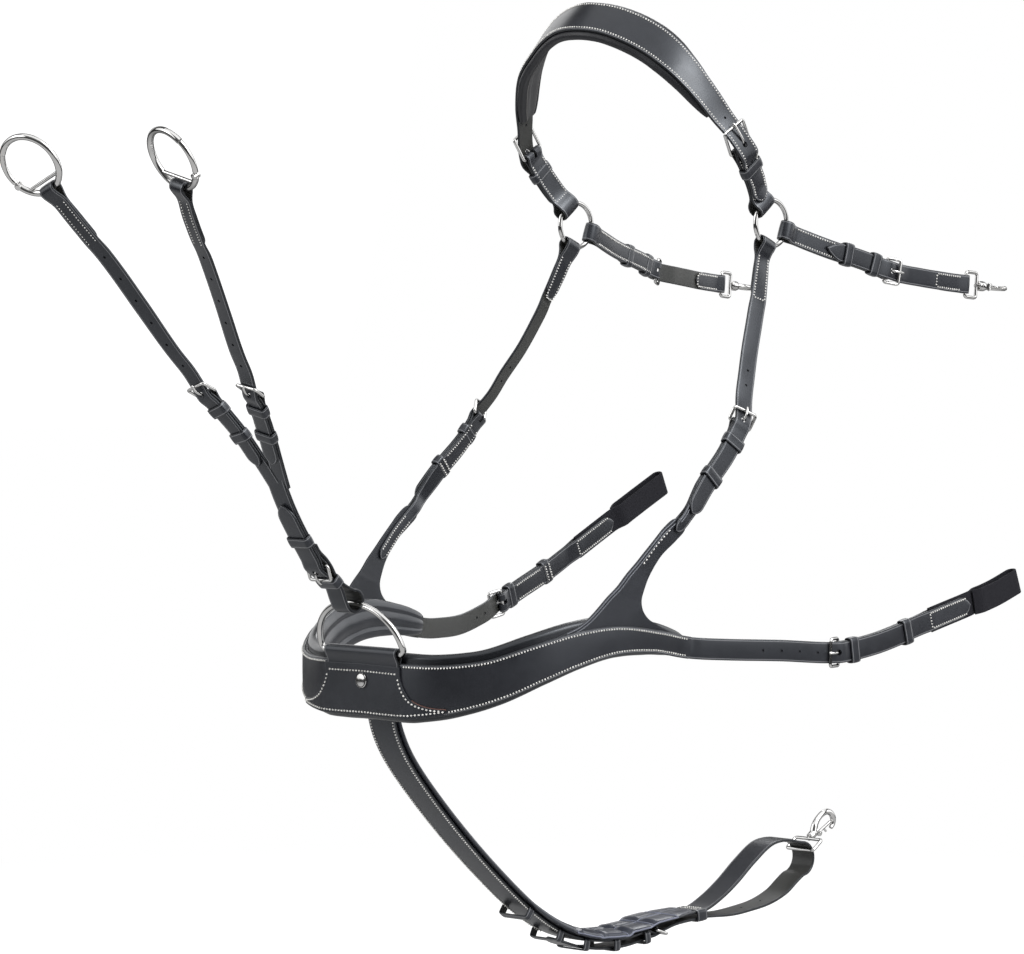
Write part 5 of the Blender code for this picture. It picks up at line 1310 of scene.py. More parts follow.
def filled(outline, ribs):
    """Triangles that fill a flat outline, with edges along the ribs."""
    flat = [Vector(p[:2]) * 1000 for p in outline]
    count = len(flat)
    edges = [(i, (i + 1) % count) for i in range(count)]
    border = list(edges)
    for rib in ribs:
        edges.append((len(flat), len(flat) + 1))
        flat.extend(Vector(p) * 1000 for p in rib)
    made = delaunay_2d_cdt(flat, edges, [], 1, 1e-5)
    back = [min(origin) for origin in made[3]]
    faces = [tuple(back[i] for i in face) for face in made[2]]
    return flat, [f for f in faces if inside(sum((flat[i] for i in f), Vector((0, 0))) / 3, flat, border)]


def inside(point, corners, edges):
    """True where a line from the point crosses an odd number of edges."""
    crossings = 0
    for i, j in edges:
        a, b = corners[i], corners[j]
        if (a.y > point.y) != (b.y > point.y):
            if point.x < a.x + (b.x - a.x) * (point.y - a.y) / (b.y - a.y):
                crossings += 1
    return crossings % 2 == 1


def panel(shape, route, outline, low, high, ribs):
    """A flat cut piece of leather from its (s, b) outline, between two levels."""
    flat, caps = filled(outline, ribs)
    count = len(flat)
    points = [route.place(p.x / 1000, low, p.y / 1000) for p in flat]
    points += [route.place(p.x / 1000, high, p.y / 1000) for p in flat]
    faces = [tuple(reversed(face)) for face in caps]
    faces += [tuple(i + count for i in face) for face in caps]
    size = len(outline)
    faces += [(i, (i + 1) % size, (i + 1) % size + count, i + count) for i in range(size)]
    shape.add(points, faces, [(9 * MM, p.x / 1000) for p in flat] * 2)


class BREASTPLATE_OT_collar(bpy.types.Operator):
    """Builds the padded chest collar: face, body with its two horns, pad, overlay, stud and ring"""

    bl_idname = "breastplate.collar"
    bl_label = "Chest collar"

    def execute(self, context):
        route = collar_route()
        middle = route.length / 2
        face_end = collar_distance(route, COLLAR_END)
        skin, threads, pad = Shape(), Shape(), Shape()
        stops = [(s, 0.0, PANEL_THICK / 2) for s in spaced(middle - face_end, middle + face_end)]
        run(skin, route, stops, lambda s: collar_half(route, s - middle), crown=0.35 * MM, step=4 * MM)
        leather_piece("collar_face", skin)
        for side in (-1, 1):
            for edge, start in ((1, 50 * MM), (-1, 92 * MM)):
                sew_along(threads, route, middle + side * start, middle + side * (face_end - 3 * MM),
                          PANEL_THICK / 2 + THREAD_LIFT,
                          lambda s: edge * (collar_half(route, s - middle) - 2.8 * MM))
        self.build_body(route, middle, face_end)

        def fade(s):
            return sqrt(max(1 - (abs(s - middle) / (face_end - 5 * MM)) ** 9, 0.0))

        end = face_end - 6 * MM
        cushion(pad, route, spaced(middle - end, middle + end, 4 * MM),
                lambda s: collar_half(route, s - middle) * (0.7 + 0.3 * fade(s)) + COLLAR_PAD_EDGE * fade(s),
                -PANEL_THICK / 2 - 2 * GAP - LAYER,
                lambda s: COLLAR_PAD_THICK * (0.4 + 0.6 * fade(s)), COLLAR_CHANNELS, ripple=0.4 * MM,
                seed=8.0, rise=COLLAR_PAD_RISE)
        padded_piece("collar_pad_roll", pad, leather("padded_leather"), "collar_pad")
        self.build_overlay(route, middle, threads)
        self.build_ring()
        stitching("collar_stitching", threads)
        return {"FINISHED"}

    def build_body(self, route, middle, face_end):
        """The leather behind the face, which runs up into the two horns."""
        top = -PANEL_THICK / 2 - GAP
        body_end = face_end - GIRTH_LAP - 0.6 * MM
        root = collar_distance(route, HORN_POINT)
        horn_start = root - 58 * MM
        grid = spaced(0.0, body_end, 5 * MM)
        edge = through([(root + d * MM, b * MM) for d, b in HORN_FRONT + HORN_BACK], 3 * MM)
        edge = [p for p in edge if p.x < body_end or p.y > 30 * MM]
        upper = [(d, collar_half(route, d)) for d in grid if d < horn_start]
        upper += [(p.x, p.y) for p in edge if p.x < body_end]
        if upper[-1][0] < body_end - 2 * MM:
            upper.append((body_end, collar_half(route, body_end)))
        lower = [-d for d in reversed(grid[1:])] + grid
        outline = [(middle + d, -collar_half(route, d)) for d in lower]
        outline += [(middle + d, b) for d, b in reversed(upper)]
        outline += [(middle - d, b) for d, b in upper[1:]]
        ribs = []
        for d in lower[1:-1]:
            half, inset = collar_half(route, d), (0.2 if abs(d) < horn_start else 1.0) * MM
            ribs.append(((middle + d, 0.2 * MM - half), (middle + d, half - inset)))
        shape = Shape()
        panel(shape, route, outline, top - LAYER, top, ribs)
        leather_piece("collar_body", shape, bevel=0.4 * MM)
        front = through([(root + d * MM, b * MM) for d, b in HORN_FRONT], 3 * MM)
        lines = []
        for side in (-1, 1):
            for inset in PIPING_INSETS:
                lines.append([])
                for i, p in enumerate(front):
                    ahead = (front[min(i + 1, len(front) - 1)] - front[max(i - 1, 0)]).normalized()
                    at = p + Vector((ahead.y, -ahead.x)) * inset
                    lines[-1].append(route.place(middle + side * at.x, top + 0.15 * MM, at.y))
        piped("horn_piping", lines)

    def build_overlay(self, route, middle, threads):
        """The bell-shaped overlay, rolled round the chest ring's bar, with its plain stud."""
        right = [(ROLL_HALF + d * MM, b * MM) for d, b in BELL]
        bell = [tuple(p) for p in through(right, 3 * MM)]
        reach, straight = right[-1][0], ROLL_HALF - 3 * MM
        line = spaced(3 * MM - reach, reach - 3 * MM, 4 * MM)
        outline = bell + [(d, 1 * MM - collar_half(route, d)) for d in reversed(line)]
        outline += [(-d, b) for d, b in reversed(bell)] + [(d, 22 * MM) for d in line if abs(d) < straight]
        ribs = []
        for d in line:
            above = 21.5 * MM
            if abs(d) >= straight:
                above = widths_between(right[1:], abs(d)) - 1.5 * MM
            if above > 3 * MM - collar_half(route, d):
                ribs.append(((middle + d, 1.6 * MM - collar_half(route, d)), (middle + d, above)))
        shape, rim, stud = Shape(), Shape(), Shape()
        panel(shape, route, [(middle + d, b) for d, b in outline], OVERLAY_LOW, OVERLAY_HIGH, ribs)
        self.roll(shape)
        leather_piece("collar_overlay", shape, bevel=0.4 * MM)
        seams = [[(d, 15.5 * MM) for d in spaced(-straight, straight, 4 * MM)]]
        for side in (-1, 1):
            seams.append([(side * (d - SEAM_INSET), b - 1.2 * MM) for d, b in bell if b < 16 * MM])
        seams.append([(d, 3.6 * MM - collar_half(route, d)) for d in spaced(-92 * MM, 92 * MM, 4 * MM)])
        for seam in seams:
            sewn = [(middle + d, OVERLAY_HIGH + THREAD_LIFT, b) for d, b in seam]
            sew_line(threads, route, sewn, OVERLAY_PITCH)
        level = (OVERLAY_LOW + OVERLAY_HIGH) / 2
        raw = [route.place(middle + d, level, b) for d, b in bell if d > ROLL_HALF + 12 * MM]
        tube(rim, raw, 0.75 * MM, 8)
        piece("overlay_raw_edge", rim, leather("raw_edge"))
        spine = [route.place(middle, OVERLAY_HIGH + GAP + h * MM, STUD_HEIGHT_ON_FACE) for h, _ in STUD]
        tube(stud, spine, [STUD_RADIUS * share for _, share in STUD], 40)
        metal_piece("chest_stud", stud, "breastplate", sharp=35)

    def roll(self, shape):
        """The overlay's top, rolled over the ring's bar and down behind the face."""
        level = (COLLAR_FRONT[1] - CHEST_BAR[1]) * MM
        radius = ROLL_BORE + LAYER / 2
        foot = 17 * MM - (CHEST_BAR[2] - COLLAR_FRONT[2]) * MM
        front = OVERLAY_HIGH - level - LAYER / 2
        back = OVERLAY_LOW - level + 0.5 * MM - LAYER / 2
        stops = [(front, foot), (front + 0.1 * MM, foot / 2 - 1 * MM)]
        stops += [(radius * cos(radians(a)), radius * sin(radians(a))) for a in range(-20, 216, 18)]
        stops += [(back - 2 * MM, -radius - 1.5 * MM), (back, foot + 4 * MM), (back, foot)]
        points = [mm(*CHEST_BAR) + Vector((0, -p.x, p.y)) for p in through(stops, 1.5 * MM)]
        count = len(points)
        ply(shape, points, [Vector((-1, 0, 0))] * count, [ROLL_HALF - 1 * MM] * count, [LAYER / 2] * count)

    def build_ring(self):
        bar, up = mm(*CHEST_BAR), Vector(CHEST_RING_UP)
        points = [bar + Vector((x * CHEST_RING_HALF, 0, 0)) for x in (-0.94, -0.6, -0.3, 0, 0.3, 0.6, 0.94)]
        for k in range(1, 60):
            angle = pi * k / 60
            rise = CHEST_RING_HEIGHT * sin(angle) ** 0.85
            points.append(bar + Vector((CHEST_RING_HALF * cos(angle), 0, 0)) + up * rise)
        shape = Shape()
        tube(shape, points, CHEST_RING_WIRE, 16, closed=True, flat=Vector((1, 0, 0)).cross(up))
        metal_piece("chest_ring", shape)


class BREASTPLATE_OT_shoulders(bpy.types.Operator):
    """Builds both shoulder straps, their buckles and the tugs sewn to the collar's horns"""

    bl_idname = "breastplate.shoulders"
    bl_label = "Shoulder straps"

    def execute(self, context):
        threads = Shape()
        for name, side in SIDES:
            self.build_side(name, side, threads)
        stitching("shoulder_stitching", threads, "breastplate")
        return {"FINISHED"}

    def build_side(self, name, side, threads):
        collar = collar_route()
        middle = collar.length / 2
        root = collar_distance(collar, HORN_POINT)
        ends, out = [], list(SHOULDER_OUT)
        for d, b in TUG_LAP:
            s = middle + root + d * MM
            ends.append(tuple(collar.place(s, -PANEL_THICK / 2, b * MM) / MM))
            out.append(tuple(collar.axes(s)[1]))
        route = Route(sided(SHOULDER + ends, side), sided(out, side))
        half = SHOULDER_WIDTH / 2
        heel = route.knot(5) + 5 * MM
        stops = level_stops(58 * MM, 15 * MM, -LAYER / 2) + fold_stops(0.0, -1, wither_bore(half))
        stops += level_stops(15 * MM, 58 * MM, LAYER / 2) + billet_run(heel, -1, 68 * MM, heel + 110 * MM)
        billet(f"{name}_shoulder_strap", route, stops, half, heel, -1, (42, 58), tips=(True, True))
        sew_edges(threads, route, 13 * MM, 57 * MM, half, ends=[57 * MM])

        end, lap = route.knot(12), route.knot(8)
        behind = -GAP - 1.5 * LAYER - 0.1 * MM
        slim = [(lap - 34 * MM, half), (lap - 2 * MM, TUG_SHARE * half)]
        lines = []
        for inset in PIPING_INSETS:
            places = spaced(heel + 76 * MM, lap + 8 * MM, 4 * MM)
            lines.append([route.place(s, LAYER + 0.1 * MM, side * (inset - widths_between(slim, s)))
                          for s in places])
        piped(f"{name}_tug_piping", lines)
        stops = level_stops(end, lap + 2 * MM, behind) + folded(lap - 10 * MM, heel, lap + 17 * MM)
        chape(f"{name}_shoulder_tug", route, stops, lambda s: widths_between(slim, s), heel, -1,
              [heel + 21 * MM, heel + 66 * MM], keeper_half=half, tips=(True, True))
        lap_start, lap_end = lap + 19 * MM, end - 6 * MM
        sew_pair(threads, route, lap_start, lap_end, behind - LAYER / 2 - THREAD_LIFT,
                 TUG_SHARE * half - 2 * MM, face=-1)
        sew_pair(threads, route, heel + 12 * MM, heel + 58 * MM, -STACK_HALF - THREAD_LIFT,
                 half - SEAM_INSET, face=-1)
        sew_along(threads, route, lap_start, lap_end, THREAD_LIFT - GAP,
                  side * (1.6 * MM - TUG_SHARE * half), HORN_PITCH)
        sew_keeper(threads, route, heel + 66 * MM, half, -STACK_HALF - KEEPER_WALL)
        buckle(f"{name}_shoulder_buckle", route, heel, -1, SHOULDER_WIDTH)


class BREASTPLATE_OT_girths(bpy.types.Operator):
    """Builds both girth straps with their buckles, chapes and elastic loops"""

    bl_idname = "breastplate.girths"
    bl_label = "Girth straps"

    def execute(self, context):
        threads = Shape()
        for name, side in SIDES:
            self.build_side(name, side, threads)
        stitching("girth_stitching", threads, "breastplate")
        return {"FINISHED"}

    def build_side(self, name, side, threads):
        line = sided(NEAR_COLLAR[GIRTH_START:], side) + GIRTH_POINTS[name]
        route = Route(line, sided(COLLAR_OUT[GIRTH_START:] + GIRTH_OUT, side))
        start = route.knot(COLLAR_END - GIRTH_START) - GIRTH_LAP
        heel = route.knot(7) + 4 * MM
        half = GIRTH_WIDTH / 2
        stops = level_stops(start, start + GIRTH_LAP + 1 * MM, -PANEL_THICK / 2 - GAP - LAYER / 2)
        stops += billet_run(heel, -1, start + GIRTH_LAP + 14 * MM, heel + 94 * MM)
        billet(f"{name}_girth_strap", route, stops, half, heel, -1, GIRTH_HOLES[name], tips=(False, True))

        patch_start = route.knot(10) - 24 * MM + PATCH_SHIFT[name]
        patch_end = route.knot(11) + 3 * MM + PATCH_SHIFT[name]
        tab = ELASTIC_THICK / 2 + GAP + LAYER / 2
        keeper_at = route.knot(9)
        stops = level_stops(patch_end, patch_start + 14 * MM, -tab)
        stops += folded(patch_start, heel, patch_start)
        stops += level_stops(patch_start + 14 * MM, patch_end, tab)
        chape(f"{name}_girth_chape", route, stops, half, heel, -1, [heel + 16 * MM, keeper_at],
              tips=(True, True))
        sew_edges(threads, route, patch_start + 14 * MM, patch_end - 5 * MM, half,
                  tab + LAYER / 2 + THREAD_LIFT, ends=[patch_start + 14 * MM])
        sew_keeper(threads, route, keeper_at, half, -STACK_HALF - KEEPER_WALL)
        sew_pair(threads, route, heel + 23 * MM, keeper_at - 9 * MM, -STACK_HALF - THREAD_LIFT,
                 half - SEAM_INSET, face=-1)
        buckle(f"{name}_girth_buckle", route, heel, -1, GIRTH_WIDTH)
        self.build_elastic(name, route, patch_start + 16 * MM, patch_end + 4 * MM)

    def build_elastic(self, name, route, start, split):
        """The elastic webbing: one layer from start, opened at split into a loop for the girth."""
        skin = Shape()
        thin = ELASTIC_THICK / 2
        radius = ELASTIC_OPEN / 2 + thin
        round_end = route.length - radius - thin
        turns = [radians(a) for a in range(0, 181, 20)]
        stops = [(start, -0.1 * MM), (split - 6 * MM, -0.1 * MM), (split + 2 * MM, -0.9 * MM)]
        stops.append((split + 11 * MM, -radius))
        stops += [(s, -radius) for s in spaced(split + 22 * MM, round_end - 8 * MM, 16 * MM)]
        stops += [(round_end + radius * sin(a), -radius * cos(a)) for a in turns]
        stops += [(s, radius) for s in spaced(round_end - 8 * MM, split + 22 * MM, 16 * MM)]
        stops += [(split + 11 * MM, radius), (split + 3 * MM, 1.6 * MM)]
        run(skin, route, [(s, n, thin) for s, n in stops], ELASTIC_WIDTH / 2, step=2.4 * MM)
        piece(f"{name}_girth_elastic_web", skin, woven_elastic(), "breastplate", [f"{name}_girth_elastic"],
              "elastic")


# The snap's sizes in millimetres: its pin and barrel as (place along, share of the radius), and its hook
SNAP_NECK = 9.5
SNAP_PIN_STEPS = ((-0.9, 1.5), (0.0, 1.4), (5.0, 1.0), (5.2, 1.6), (7.6, 1.6))
SNAP_BARREL_STEPS = [(2.1, 0.5), (2.1, 0.84), (2.5, 0.96), (3.2, 1.0), (4.4, 0.94), (5.2, 1.0), (8.2, 1.0)]
SNAP_BARREL_STEPS += [(9.0, 0.94), (9.6, 0.98), (11.0, 0.86)]
SNAP_HOOK = [(9.5, -0.6), (14, -4.4), (20, -6.2), (27, -5.8), (32, -3.2), (34.6, 1.4), (33.8, 6), (31, 8.9)]
SNAP_HOOK += [(27.6, 9.8)]
SNAP_HOOK_FAT = [(0.0, 1.3), (0.25, 1.0), (0.8, 1.0), (1.0, 0.72)]
KNUCKLE_RADIUS = 2.6 * MM
KNUCKLE_HALF = 0.85 * MM


def knuckle(shape, pivot, across):
    """The turning end of a gate, between the cheeks of its hinge."""
    reach = across * KNUCKLE_HALF
    tube(shape, [pivot - reach, pivot + reach], KNUCKLE_RADIUS, 24)


def snap_hook(name, bar, along, out, across, width, depth, size=1.0, barrel=SNAP_BARREL):
    """A swivel snap hook: square eye with its pin, barrel and hook, and the sprung trigger."""
    half = width / 2 + SNAP_EYE_WIRE + 1.6 * MM

    def at(a, c=0.0):
        return bar + along * (depth + a * MM) + out * (c * MM)

    def on_hook(spots):
        return [at(SNAP_NECK + (a - SNAP_NECK) * size, c * size) for a, c in spots]

    eye, body, gate = Shape(), Shape(), Shape()
    places = ((0, -half), (depth, -half), (depth, half), (0, half))
    corners = [bar + along * d + across * b for d, b in places]
    tube(eye, filleted(corners, 3 * MM, 6), SNAP_EYE_WIRE, 14, closed=True, flat=out)
    tube(eye, [at(a) for a, _ in SNAP_PIN_STEPS], [SNAP_PIN * share for _, share in SNAP_PIN_STEPS], 18,
         flat=across)
    metal_piece(f"{name}_eye", eye)

    profile = SNAP_BARREL_STEPS + [(13.2, SNAP_WIRE * size * 1.35 / barrel), (14.4, 0.5)]
    tube(body, [at(a) for a, _ in profile], [barrel * share for _, share in profile], 24, flat=across)
    spine = through(on_hook(SNAP_HOOK), 1.2 * MM)
    last = len(spine) - 1
    sizes = [SNAP_WIRE * size * widths_between(SNAP_HOOK_FAT, k / last) for k in range(len(spine))]
    tube(body, spine, sizes, 14, flat=across)
    pivot = at(14.2, 3.4 * size)
    hinge(body, pivot, across, 2.05 * MM, 0.85 * MM, 3.1 * MM, SNAP_WIRE * 1.1 + 0.9 * MM)
    metal_piece(f"{name}_body", body)

    knuckle(gate, pivot, across)
    line = through([pivot] + on_hook([(18.4, 3.9), (24.0, 4.6), (29.6, 5.3)]), 1 * MM)
    tube(gate, *capped(line, SNAP_GATE_WIRE), 12, flat=across)
    thumb = on_hook([(20.6, 4.4), (21.0, 6.4), (21.4, 8.2)])
    tube(gate, *capped(thumb, SNAP_GATE_WIRE * 0.8), 12, flat=across)
    metal_piece(f"{name}_trigger", gate)


class BREASTPLATE_OT_saddle(bpy.types.Operator):
    """Builds both saddle straps with their buckles and swivel snap hooks"""

    bl_idname = "breastplate.saddle"
    bl_label = "Saddle straps"

    def execute(self, context):
        for name, side in SIDES:
            self.build_side(name, side)
        return {"FINISHED"}

    def build_side(self, name, side):
        route = Route(sided(SADDLE, side), sided(SADDLE_OUT, side))
        body = f"{name}_saddle_strap"
        half = SADDLE_WIDTH / 2
        heel, end = route.knot(4) - 4 * MM, route.length
        threads = Shape()
        stops = chape_loop(0.0, wither_bore(half), heel, FOLD_BORE)
        chape(f"{name}_saddle_chape", route, stops, half, heel, 1, [heel - 17 * MM, heel - 52 * MM], body,
              closed=True)
        sew_edges(threads, route, 12 * MM, heel - 12 * MM, half)
        buckle(f"{name}_saddle_buckle", route, heel, 1, SADDLE_WIDTH, body)
        sewn_billet(f"{name}_saddle_billet", route, heel, heel - 78 * MM, half, SNAP_EYE_WIRE + 0.4 * MM,
                    44 * MM, (), body, pointed=True)
        sew_edges(threads, route, end - 42 * MM, end - 8 * MM, half, ends=[end - 42 * MM])
        stitching(f"{name}_saddle_stitching", threads, body)
        snap_hook(f"{name}_snap", route.place(end), *route.axes(end), SADDLE_WIDTH, SNAP_EYE_DEPTH)


# The rein ring's angles, from its strap round by the outer side: its wire, its bar's ends and its gate
RING_WIRE_TURN = (68.0, 142.2 - 360.0)
RING_BAR_ANGLE = 50.0
RING_PIVOT_ANGLE = 70.0
RING_GATE_TURN = (79.0, 139.7)


class BREASTPLATE_OT_martingale(bpy.types.Operator):
    """Builds the fork above the chest ring, its stem loop, arms and rein rings"""

    bl_idname = "breastplate.martingale"
    bl_label = "Martingale"

    def execute(self, context):
        route = Route(STEM, [STEM_OUT] * len(STEM))
        half = STEM_WIDTH / 2
        heel = route.knot(2)
        end = route.length - 6 * MM
        arms, threads = Shape(), Shape()
        thin = STACK_HALF / 2 - 0.125 * MM
        for name, _ in SIDES:
            arm = Route(ARMS[name], ARM_OUT[name])
            arm_heel = arm.knot(3)
            stops = level_stops(2 * MM, arm_heel - FOLD_CLEAR, thin, 12 * MM, thin)
            stops += reversed(fold_stops(arm_heel, 1, FOLD_BORE))
            stops += level_stops(arm_heel - FOLD_CLEAR, 2 * MM, -thin, 12 * MM, thin)
            run(arms, arm, stops, ARM_WIDTH / 2)
            lap_keepers(arms, arm, [arm_heel - 17 * MM, arm_heel - 48 * MM], ARM_WIDTH / 2)
        chape("martingale_fork", route, folded(end, heel, end), half, heel, -1, [heel + 30 * MM],
              "martingale", arms)
        buckle("martingale_buckle", route, heel, -1, STEM_WIDTH, "martingale")
        self.build_loop(route, heel, half)
        for name, side in SIDES:
            self.build_arm(name, side, threads)
        stitching("martingale_stitching", threads, "martingale")
        return {"FINISHED"}

    def build_loop(self, route, heel, half):
        """The stem's lower strap: round the chest ring, up through the buckle to its tip."""
        thick = BILLET_THICK / 2
        under = -STACK_HALF - GAP - thick
        turn = STEM_LOOP_BORE + thick
        dip = -FOLD_OUTER - GAP - thick
        path = [(heel + 22 * MM, under), (heel + 14 * MM, under), (heel + 4 * MM, dip), (heel - 6 * MM, dip)]
        path += [(heel - 16 * MM, under), (27 * MM, under)]
        seat = STEM_LOOP_BORE - CHEST_RING_WIRE - CHEST_RING_SAG - GAP
        turns = [radians(a) for a in range(-52, -309, -16)]
        path += [(seat + turn * cos(a), turn * sin(a)) for a in turns] + [(27 * MM, 0.0)]
        upper = [heel - BUCKLE_DEPTH] + [heel + d * MM for d in (0, 9, 24, 38)] + [route.knot(4)]
        path += [(s, billet_level(s, heel, -1)) for s in upper]
        keepers = Shape()
        keeper(keepers, route, 33 * MM, half + SIDE_PLAY, under - 0.5 * MM, 3.6 * MM)
        billet("martingale_loop", route, [(s, n, thick) for s, n in path], half, heel, -1,
               body="martingale", extra=keepers, tips=(False, True))

    def build_arm(self, name, side, threads):
        """An arm's buckle and strap, and the rein ring with its gate at the strap's end."""
        route = Route(ARMS[name], ARM_OUT[name])
        heel, end = route.knot(3), route.length
        half = ARM_WIDTH / 2
        buckle(f"{name}_arm_buckle", route, heel, 1, ARM_WIDTH, "martingale")
        bore = ring_bore(REIN_RING_WIRE, REIN_RING_RADIUS, half)
        sewn_billet(f"{name}_arm_strap", route, heel, heel - 80 * MM, half, bore, 62 * MM,
                    [34 + 24 * k for k in range(6)], "martingale")
        sew_edges(threads, route, end - 60 * MM, end - 13 * MM, half, inset=4 * MM, fine=0.7)
        self.build_rein_ring(name, side, route)

    def build_rein_ring(self, name, side, route):
        along, normal, across = route.axes(route.length)
        centre = route.place(route.length) + along * REIN_RING_RADIUS
        outer = across if across.x * side > 0 else -across

        def at(angle, share=1.0):
            reach = outer * (REIN_RING_RADIUS * sin(radians(angle)) * share)
            return centre - along * (REIN_RING_RADIUS * cos(radians(angle))) + reach

        ring, gate = Shape(), Shape()
        tube(ring, [at(a) for a in spaced(*RING_WIRE_TURN, 5)], REIN_RING_LOOK, 16, flat=normal)
        tube(ring, [at(RING_BAR_ANGLE, x) for x in (-1, -0.3, 0.3, 1)], REIN_BAR_WIRE, 14, flat=normal)
        pivot = at(RING_PIVOT_ANGLE)
        hinge(ring, pivot, normal, 2.1 * MM, 0.9 * MM, REIN_RING_LOOK, REIN_RING_WIRE + 0.2 * MM)
        metal_piece(f"{name}_rein_ring", ring)

        knuckle(gate, pivot, normal)
        bow = [at(a) for a in spaced(*RING_GATE_TURN, 4)]
        sizes = [1.4 * MM] + [REIN_RING_LOOK * 0.85] * len(bow)
        tube(gate, [pivot.lerp(bow[0], 0.4)] + bow, sizes, 14, flat=normal)
        metal_piece(f"{name}_rein_gate", gate)


def belly_at(route, y):
    """How far along the belly route this place along the horse lies."""
    low, high = 0.0, route.length
    for _ in range(40):
        s = (low + high) / 2
        if route.place(s).y < y * MM:
            low = s
        else:
            high = s
    return low


